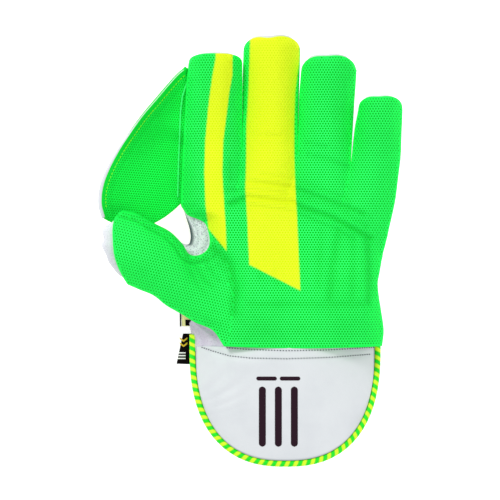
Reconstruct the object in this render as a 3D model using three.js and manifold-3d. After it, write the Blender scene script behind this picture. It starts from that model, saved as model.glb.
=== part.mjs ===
// A left-hand wicketkeeping glove lying on its back, palm up, fingers towards +Y.
// Millimetres, +Z up. The origin is on the surface it lies on, under the middle of the glove.
import * as THREE from 'three';
import Module from 'manifold-3d';
import { mergeVertices } from 'three/addons/utils/BufferGeometryUtils.js';

const wasm = await Module();
wasm.setup();

// Palm and heel of the hand
const palmWidth = 139;
const palmLength = 131;
const palmHeight = 50;
const pocketDepth = 6;
const heelRise = 5;
const wristDrop = 4;
const sideDrop = 13;
const creaseDepth = 2.2;
const thumbCreaseDepth = 5;

// Fingers, from the crotch line to the tip
const indexLength = 60.3;
const middleLength = 76.4;
const ringLength = 68.2;
const littleLength = 42.8;
const fingerCurl = 17;
const fingerCrown = 12;
const fingerDepth = 31;

// Thumb, from the middle of its root to its tip
const thumbLength = 88;
const thumbWidth = 42;
const thumbAngle = 31;
const thumbRise = 13;
const thumbCrown = 13;
const thumbDepth = 31;
const thumbTipLength = 12;

// Web between the index finger and the thumb
const webWidth = 53.5;
const webSag = 5;
const webThickness = 2.4;
const webBackingThickness = 1;
const webBindingWidth = 2.4;

// Cuff
const cuffWidth = 129;
const cuffLength = 80;
const cuffThickness = 7;
const cuffArch = 19;
const cuffFlare = 6;
const backCuffSetback = 4;
const pipingDiameter = 4;

// Sheets, walls and fits
const facingThickness = 2.6;
const leatherThickness = 2;
const backPadding = 6;
const suedeThickness = 1.6;
const gap = 0.3;

// Small trim
const labelLength = 21;
const labelWidth = 9;
const labelTuck = 10;
const labelThickness = 1.2;
const tabLength = 8.6;
const tabWidth = 6;
const tabTuck = 3.6;
const tabThickness = 1.2;

// Shapes that follow the sizes above
const cuffRoundness = 2.55;
const columnsPerFinger = 6;
const lowerPoints = 10;
const normalPasses = 3;

const smooth = (low, high, value) => THREE.MathUtils.smoothstep(value, low, high);
const lerp = THREE.MathUtils.lerp;
const bell = (value, centre, width) => Math.exp(-(((value - centre) / width) ** 2));

// The palm's rows from the wrist seam to the knuckles. left, right and bow say where a row
// runs along the palm, as shares of palmLength; inner and outer are its two ends, as shares
// of palmWidth; dip is how far it sinks into a crease, as a share of creaseDepth.
const palmRows = [
  { left: 0, right: 0, bow: 0, inner: -0.381, outer: 0.382, dip: 0 },
  { left: 0.087, right: 0.081, bow: 0, inner: -0.355, outer: 0.389, dip: 0 },
  { left: 0.188, right: 0.178, bow: 0, inner: -0.333, outer: 0.376, dip: 0 },
  { left: 0.219, right: 0.209, bow: 0, inner: -0.329, outer: 0.372, dip: 0.6 },
  { left: 0.249, right: 0.239, bow: 0, inner: -0.326, outer: 0.367, dip: 0 },
  { left: 0.326, right: 0.316, bow: 0.01, inner: -0.331, outer: 0.36, dip: 0 },
  { left: 0.407, right: 0.377, bow: 0.03, inner: -0.353, outer: 0.369, dip: 0 },
  { left: 0.468, right: 0.417, bow: 0.06, inner: -0.398, outer: 0.376, dip: 0 },
  { left: 0.509, right: 0.438, bow: 0.09, inner: -0.436, outer: 0.379, dip: 0 },
  { left: 0.57, right: 0.453, bow: 0.12, inner: -0.453, outer: 0.383, dip: 0 },
  { left: 0.631, right: 0.463, bow: 0.14, inner: -0.475, outer: 0.384, dip: 0 },
  { left: 0.667, right: 0.47, bow: 0.15, inner: -0.552, outer: 0.385, dip: 0 },
  { left: 0.69, right: 0.487, bow: 0.15, inner: -0.571, outer: 0.389, dip: 1 },
  { left: 0.718, right: 0.514, bow: 0.148, inner: -0.588, outer: 0.396, dip: 0 },
  { left: 0.743, right: 0.565, bow: 0.132, inner: -0.59, outer: 0.408, dip: 0 },
  { left: 0.771, right: 0.611, bow: 0.117, inner: -0.59, outer: 0.417, dip: 0.8 },
  { left: 0.801, right: 0.656, bow: 0.097, inner: -0.589, outer: 0.427, dip: 0 },
  { left: 0.87, right: 0.753, bow: 0.046, inner: -0.585, outer: 0.446, dip: 0 },
  { left: 0.952, right: 0.855, bow: 0.015, inner: -0.583, outer: 0.458, dip: 0 },
];
const crotchRow = { inner: -0.578, outer: 0.47 };
const thumbRootRow = 8;

// The crotch line: where each finger begins and ends across the palm, as shares of the row,
// and how far along the palm, as a share of palmLength.
const crotches = [
  { across: 0, along: 1.033 },
  { across: 0.272, along: 1.008 },
  { across: 0.524, along: 0.982 },
  { across: 0.771, along: 0.936 },
  { across: 1, along: 0.957 },
];

// Fingers: tip width as a share of the root's width, lean as a share of palmWidth.
const fingers = [
  { name: 'index_finger', length: indexLength, tip: 0.94, lean: 0.002 },
  { name: 'middle_finger', length: middleLength, tip: 1.05, lean: 0.01 },
  { name: 'ring_finger', length: ringLength, tip: 0.99, lean: 0.028 },
  { name: 'little_finger', length: littleLength, tip: 0.9, lean: 0.02 },
];
const fingerRows = [
  { along: 0.16, width: 1 },
  { along: 0.34, width: 1 },
  { along: 0.52, width: 1 },
  { along: 0.7, width: 1 },
  { along: 0.85, width: 0.995 },
  { along: 0.945, width: 0.97 },
  { along: 1, width: 0.88 },
];

// Thumb rows from the root to the tip: where the upper and lower edges run, as shares of
// thumbLength along and thumbWidth across, and how far the row bulges towards the tip.
const thumbRows = [
  { topAlong: 0.31, topAcross: -0.39, lowAlong: -0.064, lowAcross: 0.55, bulge: -0.07 },
  { topAlong: 0.385, topAcross: -0.3, lowAlong: 0.08, lowAcross: 0.585, bulge: -0.02 },
  { topAlong: 0.475, topAcross: -0.385, lowAlong: 0.213, lowAcross: 0.583, bulge: 0.01 },
  { topAlong: 0.6, topAcross: -0.45, lowAlong: 0.335, lowAcross: 0.587, bulge: 0.03 },
  { topAlong: 0.74, topAcross: -0.437, lowAlong: 0.46, lowAcross: 0.555, bulge: 0.06 },
  { topAlong: 0.88, topAcross: -0.437, lowAlong: 0.57, lowAcross: 0.59, bulge: 0.085 },
  { topAlong: 0.985, topAcross: -0.37, lowAlong: 0.67, lowAcross: 0.62, bulge: 0.11 },
];
const thumbOrigin = { across: -0.384, along: 0.254 };

// The yellow bands: their corners as shares of palmWidth and palmLength, from the low end
// up the inner side, over the fingertip and down the outer side.
const stripes = [
  {
    name: 'index_stripe',
    corners: [
      [-0.449, 0.6], [-0.472, 0.7], [-0.482, 0.95], [-0.464, 1.2], [-0.438, 1.4], [-0.425, 1.55],
      [-0.34, 1.55], [-0.346, 1.4], [-0.372, 1.2], [-0.393, 0.95], [-0.385, 0.7], [-0.37, 0.489],
    ],
  },
  {
    name: 'middle_stripe',
    corners: [
      [-0.259, 0.417], [-0.275, 0.65], [-0.284, 0.95], [-0.272, 1.15], [-0.262, 1.7],
      [-0.018, 1.7], [-0.034, 1.15], [-0.042, 0.95], [-0.034, 0.65], [-0.016, 0.285],
    ],
  },
];

// Turns a list of points and triangles into a closed geometry whose faces point outwards.
function solidGeometry(points, triangles) {
  const kept = triangles.filter(([a, b, c]) => a !== b && b !== c && c !== a);
  const volume = kept.reduce((sum, [a, b, c]) => {
    return sum + points[a].dot(points[b].clone().cross(points[c])) / 6;
  }, 0);
  const faces = volume < 0 ? kept.map(([a, b, c]) => [a, c, b]) : kept;
  const geometry = new THREE.BufferGeometry();
  geometry.setAttribute(
    'position',
    new THREE.Float32BufferAttribute(points.flatMap((point) => point.toArray()), 3),
  );
  geometry.setIndex(faces.flat());
  return geometry;
}

// The normal at each point of a sheet of quads, the mean of its faces' normals, then evened
// out between neighbours, so that the underside doesn't run into itself at tight bends.
function sheetNormals(points, quads) {
  let normals = points.map(() => new THREE.Vector3());
  for (const [a, b, c, d] of quads) {
    const diagonal = points[c].clone().sub(points[a]);
    const normal = diagonal.cross(points[d].clone().sub(points[b]));
    for (const corner of new Set([a, b, c, d])) {
      normals[corner].add(normal);
    }
  }
  normals = normals.map((normal) => normal.normalize());
  for (let pass = 0; pass < normalPasses; pass += 1) {
    const evened = normals.map((normal) => normal.clone());
    for (const quad of quads) {
      quad.forEach((corner, i) => {
        evened[corner].addScaledVector(normals[quad[(i + 1) % 4]], 0.5);
        evened[corner].addScaledVector(normals[quad[(i + 3) % 4]], 0.5);
      });
    }
    normals = evened.map((normal) => normal.normalize());
  }
  return normals;
}

// A sheet of quads, counter-clockwise from above, thickened downwards and closed by a rim.
function thickSheet(points, quads, thicknessAt) {
  const normals = sheetNormals(points, quads);
  const count = points.length;
  const below = points.map((point, i) => point.clone().addScaledVector(normals[i], -thicknessAt(i)));
  const triangles = [];
  const edges = new Map();
  for (const quad of quads) {
    const [a, b, c, d] = quad;
    triangles.push([a, b, c], [a, c, d]);
    triangles.push([a + count, c + count, b + count], [a + count, d + count, c + count]);
    quad.forEach((from, i) => {
      const to = quad[(i + 1) % 4];
      if (from !== to) {
        edges.set(`${from},${to}`, [from, to]);
      }
    });
  }
  for (const [from, to] of edges.values()) {
    if (!edges.has(`${to},${from}`)) {
      triangles.push([to, from, from + count], [to, from + count, to + count]);
    }
  }
  return solidGeometry([...points, ...below], triangles);
}

// A sheet from rows of points that all have the same count.
function sheetFromRows(rows, thicknessAt) {
  const width = rows[0].length;
  const quads = [];
  for (let j = 0; j + 1 < rows.length; j += 1) {
    for (let i = 0; i + 1 < width; i += 1) {
      const start = j * width + i;
      quads.push([start, start + 1, start + 1 + width, start + width]);
    }
  }
  return thickSheet(rows.flat(), quads, thicknessAt);
}

// A closed skin through loops of equal count, with its two ends fanned to their centres.
function skin(loops) {
  const size = loops[0].length;
  const points = loops.flat();
  const triangles = [];
  for (let j = 0; j + 1 < loops.length; j += 1) {
    for (let i = 0; i < size; i += 1) {
      const here = j * size + i;
      const next = j * size + ((i + 1) % size);
      triangles.push([here, next, next + size], [here, next + size, here + size]);
    }
  }
  for (const [loop, start, turn] of [[loops[0], 0, 1], [loops.at(-1), points.length - size, 0]]) {
    const centre = points.length;
    points.push(loop.reduce((sum, point) => sum.add(point), new THREE.Vector3()).divideScalar(size));
    for (let i = 0; i < size; i += 1) {
      const here = start + i;
      const next = start + ((i + 1) % size);
      triangles.push(turn ? [centre, next, here] : [centre, here, next]);
    }
  }
  return solidGeometry(points, triangles);
}

// A tube wall: an outer skin, an inner skin, a ring that joins them at the open first loop,
// and the same ring or two fans at the last loops.
function tube(outer, inner, openEnd) {
  const size = outer[0].length;
  const points = [...outer.flat(), ...inner.flat()];
  const innerStart = outer.length * size;
  const triangles = [];
  const wall = (start, loops, inside) => {
    for (let j = 0; j + 1 < loops; j += 1) {
      for (let i = 0; i < size; i += 1) {
        const here = start + j * size + i;
        const next = start + j * size + ((i + 1) % size);
        const faces = [[here, next, next + size], [here, next + size, here + size]];
        triangles.push(...(inside ? faces.map((face) => face.reverse()) : faces));
      }
    }
  };
  const ring = (outerLoop, innerLoop, flip) => {
    for (let i = 0; i < size; i += 1) {
      const next = (i + 1) % size;
      const quad = [outerLoop + i, innerLoop + i, innerLoop + next, outerLoop + next];
      const faces = [[quad[0], quad[1], quad[2]], [quad[0], quad[2], quad[3]]];
      triangles.push(...(flip ? faces.map((face) => face.reverse()) : faces));
    }
  };
  const fan = (loop, start, flip) => {
    const centre = points.length;
    points.push(loop.reduce((sum, point) => sum.add(point), new THREE.Vector3()).divideScalar(size));
    for (let i = 0; i < size; i += 1) {
      const face = [centre, start + i, start + ((i + 1) % size)];
      triangles.push(flip ? face.reverse() : face);
    }
  };
  wall(0, outer.length, false);
  wall(innerStart, inner.length, true);
  ring(0, innerStart, false);
  if (openEnd) {
    ring(innerStart - size, innerStart + (inner.length - 1) * size, true);
  } else {
    fan(outer.at(-1), innerStart - size, false);
    fan(inner.at(-1), innerStart + (inner.length - 1) * size, true);
  }
  return solidGeometry(points, triangles);
}

function toManifold(geometry) {
  const bare = geometry.clone();
  bare.deleteAttribute('normal');
  bare.deleteAttribute('uv');
  const merged = mergeVertices(bare, 1e-4);
  return new wasm.Manifold(new wasm.Mesh({
    numProp: 3,
    vertProperties: new Float32Array(merged.attributes.position.array),
    triVerts: new Uint32Array(merged.index.array),
  }));
}

// The largest of the bodies that a cut leaves, as a geometry.
function toGeometry(manifold) {
  const bodies = manifold.decompose().sort((a, b) => b.volume() - a.volume());
  const mesh = bodies[0].getMesh();
  const geometry = new THREE.BufferGeometry();
  geometry.setAttribute('position', new THREE.BufferAttribute(new Float32Array(mesh.vertProperties), 3));
  geometry.setIndex(new THREE.BufferAttribute(new Uint32Array(mesh.triVerts), 1));
  return geometry;
}

// The facing's points, shared by the patches of the palm, the fingers and the thumb.
const facing = { points: [], quads: [] };

function addPoint(x, y, z) {
  facing.points.push(new THREE.Vector3(x, y, z));
  return facing.points.length - 1;
}

// Joins two rows of point numbers by quads that face upwards.
function joinRows(near, far) {
  for (let i = 0; i + 1 < near.length; i += 1) {
    facing.quads.push([near[i], near[i + 1], far[i + 1], far[i]]);
  }
}

// The finger that a share across the palm belongs to, and the place across it from -1 to 1.
function acrossFinger(share) {
  const last = crotches.length - 2;
  const k = Math.min(last, crotches.filter((crotch) => crotch.across <= share + 1e-9).length - 1);
  const start = crotches[k].across;
  return (2 * (share - start)) / (crotches[k + 1].across - start) - 1;
}

// Palm height: a pocket in the middle, pads at the heel, rolls at the outer side and beside
// the index finger, a fold beside the thumb, and valleys that grow between the fingers.
function palmZ(share, along) {
  const pocket = pocketDepth * bell(share, 0.5, 0.33) * bell(along, 0.52, 0.3);
  const heel = heelRise * (bell(share, 0.84, 0.24) + 0.5 * bell(share, 0.2, 0.2)) * bell(along, 0.2, 0.17);
  const wrist = wristDrop * (1 - smooth(0, 0.16, along));
  const outerRoll = sideDrop * Math.max(0, (share - 0.84) / 0.16) ** 2.2;
  const innerRoll = sideDrop * Math.max(0, (0.1 - share) / 0.1) ** 2 * smooth(0.5, 0.7, along);
  const fold = thumbCreaseDepth * bell(share, 0, 0.07) * bell(along, 0.36, 0.26) * (1 - smooth(0.5, 0.7, along));
  const valleys = 0.6 * fingerCrown * Math.abs(acrossFinger(share)) ** 2.6 * smooth(0.6, 1, along);
  return palmHeight - pocket + heel - wrist - Math.max(outerRoll, innerRoll, valleys) - fold;
}

const columns = crotches.slice(0, -1).flatMap((crotch, k) => {
  return Array.from({ length: columnsPerFinger }, (_, i) => {
    return lerp(crotch.across, crotches[k + 1].across, i / columnsPerFinger);
  });
}).concat(1);

const palmGrid = palmRows.map((row) => columns.map((share) => {
  const along = lerp(row.left, row.right, share) + 4 * row.bow * share * (1 - share);
  const x = palmWidth * lerp(row.inner, row.outer, share);
  const sink = creaseDepth * row.dip * smooth(0, 0.2, share) * (1 - smooth(0.85, 1, share));
  return addPoint(x, palmLength * along, palmZ(share, along) - sink);
}));
palmGrid.push(columns.map((share, i) => {
  const k = Math.min(fingers.length - 1, Math.floor(i / columnsPerFinger));
  const along = lerp(crotches[k].along, crotches[k + 1].along, i / columnsPerFinger - k);
  const x = palmWidth * lerp(crotchRow.inner, crotchRow.outer, share);
  return addPoint(x, palmLength * along, palmZ(share, 1));
}));
for (let j = 0; j + 1 < palmGrid.length; j += 1) {
  joinRows(palmGrid[j], palmGrid[j + 1]);
}

// Finger grids: each starts from its stretch of the crotch line and ends in a squared tip
// with rounded corners, rising as the finger curls and falling away at both sides.
const fingerGrids = fingers.map((finger, k) => {
  const root = palmGrid.at(-1).slice(k * columnsPerFinger, (k + 1) * columnsPerFinger + 1);
  const first = facing.points[root[0]];
  const last = facing.points[root.at(-1)];
  const rootCentre = (first.x + last.x) / 2;
  const rootWidth = last.x - first.x;
  const tipY = (first.y + last.y) / 2 + finger.length;
  const grid = [root];
  for (const { along, width } of fingerRows) {
    const half = (rootWidth * lerp(1, finger.tip, along) * width) / 2;
    const centre = rootCentre + finger.lean * palmWidth * along;
    const crown = lerp(0.6 * fingerCrown, fingerCrown, smooth(0, 0.4, along));
    const cornerDrop = 0.12 * Math.min(rootWidth, 0.55 * finger.length) * along ** 10;
    grid.push(root.map((rootPoint, i) => {
      const side = (2 * i) / columnsPerFinger - 1;
      const rootY = facing.points[rootPoint].y;
      const y = lerp(rootY, tipY, along) - cornerDrop * Math.abs(side) ** 4;
      const rise = fingerCurl * along ** 1.4 - 0.25 * fingerCrown * along ** 12;
      return addPoint(centre + half * side, y, palmHeight + rise - crown * Math.abs(side) ** 2.6);
    }));
  }
  for (let j = 0; j + 1 < grid.length; j += 1) {
    joinRows(grid[j], grid[j + 1]);
  }
  return grid;
});

// Thumb grid: rows run from the thumb's upper edge to its lower edge, starting from the
// palm's edge between the thumb crotch and the wrist seam.
const thumbAxis = new THREE.Vector2(-1, 0).rotateAround(new THREE.Vector2(), -THREE.MathUtils.degToRad(thumbAngle));
const thumbAcross = new THREE.Vector2(-thumbAxis.y, thumbAxis.x);
const thumbBase = new THREE.Vector2(thumbOrigin.across * palmWidth, thumbOrigin.along * palmLength);

function thumbPlace(along, across) {
  return thumbBase.clone()
    .addScaledVector(thumbAxis, along * thumbLength)
    .addScaledVector(thumbAcross, across * thumbWidth);
}

const thumbRoot = palmGrid.slice(0, thumbRootRow + 1).map((row) => row[0]).reverse();
const thumbGrid = [thumbRoot];
thumbRows.forEach((row, j) => {
  const progress = (j + 1) / thumbRows.length;
  const settled = smooth(0, 0.45, progress);
  thumbGrid.push(thumbRoot.map((rootPoint, i) => {
    const share = i / thumbRootRow;
    const side = 2 * share - 1;
    const along = lerp(row.topAlong, row.lowAlong, share) + row.bulge * (1 - Math.abs(side) ** 3);
    const place = thumbPlace(along, lerp(row.topAcross, row.lowAcross, share));
    const rise = thumbRise * smooth(0, 0.8, progress) - 0.3 * thumbCrown * progress ** 10;
    const own = palmHeight + rise - thumbCrown * Math.abs(side) ** 2.4;
    return addPoint(place.x, place.y, lerp(facing.points[rootPoint].z, own, settled));
  }));
});
for (let j = 0; j + 1 < thumbGrid.length; j += 1) {
  joinRows(thumbGrid[j + 1], thumbGrid[j]);
}

const facingNormals = sheetNormals(facing.points, facing.quads);
const under = (i, depth) => facing.points[i].clone().addScaledVector(facingNormals[i], -depth);
const facingSolid = toManifold(thickSheet(facing.points, facing.quads, () => facingThickness));
const facingBelow = toManifold(thickSheet(
  facing.points.map((_, i) => under(i, gap)),
  facing.quads,
  () => facingThickness,
));

// A closed section: the given upper points, then a rounded lower side from the last of them
// back to the first that reaches down to bottomZ and is flat where it lies on the surface.
function section(upper, bottomZ, squareness) {
  const start = upper.at(-1);
  const end = upper[0];
  const middle = start.clone().add(end).divideScalar(2);
  const half = start.clone().sub(end).divideScalar(2);
  const lower = [];
  for (let i = 1; i < lowerPoints; i += 1) {
    const angle = (Math.PI * i) / lowerPoints;
    const reach = Math.sign(Math.cos(angle)) * Math.abs(Math.cos(angle)) ** (2 / squareness);
    const point = middle.clone().addScaledVector(half, reach);
    const drop = 1.04 * Math.sin(angle) ** (2 / squareness);
    point.z = Math.max(bottomZ, point.z - (point.z - bottomZ) * drop);
    lower.push(point);
  }
  return [...upper, ...lower];
}

// The same section drawn in by the wall: leather above and at the sides, padding below.
function innerSection(loop, upperCount, below) {
  const start = loop[upperCount - 1];
  const middle = start.clone().add(loop[0]).divideScalar(2);
  const halfWidth = start.distanceTo(loop[0]) / 2;
  const lowest = Math.min(...loop.map((point) => point.z));
  const draw = 1 - leatherThickness / halfWidth;
  return loop.map((point) => {
    const x = lerp(middle.x, point.x, draw);
    const y = lerp(middle.y, point.y, draw);
    const edgeZ = Math.min(start.z, loop[0].z);
    const depth = THREE.MathUtils.clamp((edgeZ - point.z) / (edgeZ - lowest), 0, 1);
    return new THREE.Vector3(x, y, point.z + lerp(-leatherThickness, below, depth));
  });
}

const stallFit = facingThickness + 2.5 * gap;
const handFit = stallFit + 2 * gap;
const thumbFit = handFit + gap;
const everySecond = (list) => list.filter((_, i) => i % 2 === 0);

// How far along the palm the crotch line is at a place across it.
function crotchY(x) {
  const line = palmGrid.at(-1).map((i) => facing.points[i]);
  const k = Math.min(line.length - 2, Math.max(0, line.findLastIndex((point) => point.x <= x)));
  return lerp(line[k].y, line[k + 1].y, (x - line[k].x) / (line[k + 1].x - line[k].x));
}

// Hand: sections under the palm's rows, from the wrist seam to the crotch line. The rows
// beside a crease are left out, because the leather runs straight on under the crease.
const handRows = [0, 1, 3, 5, 6, 8, 9, 10, 11, 12, 14, 15, 17, 18, palmGrid.length - 1];

function handLoops(grow) {
  const loops = handRows.map((j) => palmGrid[j]).map((row) => {
    const upper = everySecond(row).map((i) => under(i, handFit - grow));
    const middle = upper[0].clone().add(upper.at(-1)).divideScalar(2);
    const draw = 1 + (grow - gap) / upper[0].distanceTo(middle);
    upper.forEach((point) => point.setX(lerp(middle.x, point.x, draw)));
    return section(upper, -grow, 3.4);
  });
  loops[0].forEach((point) => point.setY(0));
  loops.at(-1).forEach((point) => point.setY(crotchY(point.x) - 3 * gap));
  return loops;
}

const handOuter = handLoops(0);
const handUpperCount = everySecond(columns).length;
const handInner = handOuter.map((loop) => innerSection(loop, handUpperCount, backPadding));
const handGrown = toManifold(skin(handLoops(gap)));
const handTube = toManifold(tube(handOuter, handInner, true));

// Thumb stall: its root runs on into the hand, where the hand's own shape cuts it off.
function thumbLoops() {
  const loops = thumbGrid.map((row, j) => {
    const progress = j / (thumbGrid.length - 1);
    const upper = everySecond(row).map((i) => under(i, thumbFit));
    const depth = lerp(palmHeight - backPadding, thumbDepth, smooth(0, 0.6, progress));
    const middle = upper[0].clone().add(upper.at(-1)).divideScalar(2);
    const draw = 1 - gap / upper[0].distanceTo(middle);
    upper.forEach((point) => point.copy(middle.clone().lerp(point, draw)));
    const top = Math.max(...upper.map((point) => point.z));
    return section(upper, Math.max(backPadding, top - depth), 2.6);
  });
  const last = loops.at(-1);
  const centre = last.reduce((sum, point) => sum.add(point), new THREE.Vector3()).divideScalar(last.length);
  const outwards = new THREE.Vector3(thumbAxis.x, thumbAxis.y, 0)
    .addScaledVector(new THREE.Vector3(thumbAcross.x, thumbAcross.y, 0), 0.7)
    .normalize();
  for (const { along, scale } of [{ along: 0.35, scale: 0.9 }, { along: 0.75, scale: 0.7 }, { along: 1, scale: 0.4 }]) {
    loops.push(last.map((point) => {
      return centre.clone().lerp(point, scale).addScaledVector(outwards, along * thumbTipLength);
    }));
  }
  return loops;
}

// Moves a root loop into the hand and lowers its top, so that it stays inside the hand.
function rootInside(loop, distance, lower) {
  const lowest = Math.min(...loop.map((point) => point.z));
  return loop.map((point) => {
    return new THREE.Vector3(point.x + distance, point.y, Math.max(lowest, point.z - lower));
  });
}

const thumbOuter = thumbLoops();
const thumbUpperCount = everySecond(thumbRoot).length;
const thumbInner = thumbOuter.slice(0, -1).map((loop) => innerSection(loop, thumbUpperCount, leatherThickness * 1.5));
const thumbSolid = toManifold(skin([rootInside(thumbOuter[0], 0.1 * palmWidth, sideDrop), ...thumbOuter]));
const thumbHollow = toManifold(skin([
  rootInside(thumbInner[0], 0.12 * palmWidth, sideDrop),
  ...thumbInner,
]));
const thumbShell = thumbSolid.subtract(handGrown).subtract(thumbHollow).subtract(facingBelow);
const handShell = handTube.subtract(thumbHollow);

// Finger stalls: hollow, open at the root into the hand, closed by a rounded tip. No loop
// folds back over the one before it.
function stall(k) {
  const grid = fingerGrids[k];
  const outer = grid.map((row, j) => {
    const progress = j === 0 ? 0 : fingerRows[j - 1].along;
    const upper = everySecond(row).map((i) => under(i, stallFit));
    const middle = upper[0].clone().add(upper.at(-1)).divideScalar(2);
    const draw = 1 - (1.3 * gap) / (upper[0].distanceTo(middle));
    upper.forEach((point) => point.copy(middle.clone().lerp(point, draw)));
    const top = Math.max(...upper.map((point) => point.z));
    const depth = lerp(palmHeight - stallFit, fingerDepth, smooth(0, 0.75, progress));
    return section(upper, Math.max(0, top - depth), lerp(4.5, 2.6, smooth(0, 0.5, progress)));
  });
  const last = outer.at(-1);
  const centre = last.reduce((sum, point) => sum.add(point), new THREE.Vector3()).divideScalar(last.length);
  outer.push(last.map((point) => centre.clone().lerp(point, 0.8).setY(lerp(centre.y, point.y, 0.8) + stallFit)));
  for (let j = 1; j < outer.length; j += 1) {
    outer[j].forEach((point, i) => point.setY(Math.max(point.y, outer[j - 1][i].y + leatherThickness / 2)));
  }
  const upperCount = everySecond(grid[0]).length;
  const inner = outer.slice(0, -2).map((loop) => innerSection(loop, upperCount, backPadding * 0.7));
  return tube(outer, inner, false);
}

// Stripes: a band cut through the facing, and the yellow rubber that fills it.
function prism(corners, low, high) {
  const outline = new THREE.Shape(corners);
  const geometry = new THREE.ExtrudeGeometry(outline, { depth: high - low, bevelEnabled: false });
  return toManifold(geometry.translate(0, 0, low));
}

const stripeCorners = ({ corners }) => corners.map(([x, y]) => new THREE.Vector2(x * palmWidth, y * palmLength));

// Draws an outline in by a distance, along the mean of the normals of its two sides.
function drawnIn(corners, distance) {
  return corners.map((corner, i) => {
    const before = corners.at(i - 1);
    const after = corners[(i + 1) % corners.length];
    const sideIn = corner.clone().sub(before).normalize();
    const sideOut = after.clone().sub(corner).normalize();
    const normal = new THREE.Vector2(sideIn.y + sideOut.y, -sideIn.x - sideOut.x).normalize();
    return corner.clone().addScaledVector(normal, distance);
  });
}

const above = palmHeight + fingerCurl + thumbRise;
const stripeSolids = stripes.map((stripe) => {
  const corners = stripeCorners(stripe);
  return facingSolid.intersect(prism(drawnIn(corners, gap), 0, above));
});
const facingCut = stripes.reduce((solid, stripe) => {
  return solid.subtract(prism(stripeCorners(stripe), 0, above));
}, facingSolid);

// Web: rows run from the outer edge to the index finger's side, under the facing's edge.
const webSide = [
  ...palmGrid.slice(14, -1).map((row) => row[0]),
  ...fingerGrids[0].slice(0, -2).map((row) => row[0]),
].reverse();

// The outer edge's distance from the index finger as a share of webWidth, from the top down,
// and its place along the palm from the web's top, as a share of the web's height.
const webOuter = [
  { out: -0.04, down: 0 },
  { out: 0.04, down: 0.05 },
  { out: 0.14, down: 0.13 },
  { out: 0.295, down: 0.24 },
  { out: 0.465, down: 0.36 },
  { out: 0.62, down: 0.49 },
  { out: 0.762, down: 0.62 },
  { out: 0.885, down: 0.76 },
  { out: 0.964, down: 0.89 },
  { out: 0.985, down: 1.02 },
  { out: 0.94, down: 1.13 },
];

function outerEdge(share) {
  const place = share * (webOuter.length - 1);
  const k = Math.min(webOuter.length - 2, Math.floor(place));
  const mix = place - k;
  return {
    out: lerp(webOuter[k].out, webOuter[k + 1].out, mix),
    down: lerp(webOuter[k].down, webOuter[k + 1].down, mix),
  };
}

const webTop = facing.points[webSide[0]];
const webFoot = facing.points[webSide.at(-1)];
const webHeight = webTop.y - webFoot.y;
const webColumns = 7;

function webPoint(share, across) {
  const edge = outerEdge(share);
  const side = facing.points[webSide[Math.round(share * (webSide.length - 1))]];
  const outerZ = lerp(webTop.z, palmHeight - 0.6 * sideDrop, smooth(0, 0.9, share));
  const outer = new THREE.Vector3(webFoot.x - edge.out * webWidth, webTop.y - edge.down * webHeight, outerZ);
  const inner = new THREE.Vector3(side.x - gap - facingThickness * 0.4, side.y, side.z - facingThickness * 0.5);
  const point = outer.lerp(inner, across);
  point.z -= webSag * 4 * across * (1 - across) * smooth(0, 0.5, share);
  point.y -= 0.13 * webHeight * 4 * across * (1 - across) * share ** 3;
  return point;
}

const webRows = webSide.map((_, j) => {
  const share = j / (webSide.length - 1);
  return Array.from({ length: webColumns + 1 }, (__, i) => webPoint(share, i / webColumns));
}).reverse();
const webNormals = sheetNormals(webRows.flat(), webRows.slice(1).flatMap((_, j) => {
  return Array.from({ length: webColumns }, (__, i) => {
    const start = j * (webColumns + 1) + i;
    return [start, start + 1, start + webColumns + 2, start + webColumns + 1];
  });
}));
const lowered = (rows, depth) => rows.map((row, j) => row.map((point, i) => {
  return point.clone().addScaledVector(webNormals[j * row.length + i], -depth);
}));

// What the web must clear: the thumb with a gap round it.
const thumbGrown = toManifold(skin(thumbOuter.map((loop, j) => {
  const centre = loop.reduce((sum, point) => sum.add(point), new THREE.Vector3()).divideScalar(loop.length);
  const onwards = j === thumbOuter.length - 1 ? 2 * gap : 0;
  return loop.map((point) => {
    const grown = centre.clone().lerp(point, 1 + gap / (0.25 * thumbDepth));
    return grown.add(new THREE.Vector3(thumbAxis.x, thumbAxis.y, 0).multiplyScalar(onwards));
  });
})));

const webSolid = toManifold(sheetFromRows(webRows, () => webThickness)).subtract(thumbGrown);
const backingRows = lowered(webRows, webThickness + gap).map((row) => row.slice(1));
const backingSolid = toManifold(sheetFromRows(backingRows, () => webBackingThickness)).subtract(thumbGrown);

// A cord or binding: a round section carried along a curve.
function cord(points, diameter, steps, sides) {
  const outline = new THREE.Shape(Array.from({ length: sides }, (_, i) => {
    const angle = (2 * Math.PI * i) / sides;
    return new THREE.Vector2(Math.cos(angle), Math.sin(angle)).multiplyScalar(diameter / 2);
  }));
  const extrudePath = new THREE.CatmullRomCurve3(points, false, 'centripetal');
  return new THREE.ExtrudeGeometry(outline, { steps, bevelEnabled: false, extrudePath });
}

const webEdge = webRows.map((row, j) => {
  const before = webRows[Math.max(0, j - 1)][0];
  const after = webRows[Math.min(webRows.length - 1, j + 1)][0];
  return new THREE.Vector3(before.y - after.y, after.x - before.x, 0).normalize();
});
const webGrown = toManifold(sheetFromRows(
  lowered(webRows, -1.5 * gap).map((row) => {
    const outwards = row[0].clone().sub(row[1]).normalize();
    return [row[0].clone().addScaledVector(outwards, 3 * gap), ...row.slice(1)];
  }),
  () => webThickness + webBackingThickness + 4 * gap,
));
const bindingPath = webRows.map((row, j) => {
  return row[0].clone().addScaledVector(webEdge[j], 0.5 * webBindingWidth + gap).setZ(row[0].z - webThickness / 2);
});
const webBinding = toManifold(cord(bindingPath, webBindingWidth, 20, 6))
  .subtract(thumbGrown)
  .subtract(webGrown);

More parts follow.
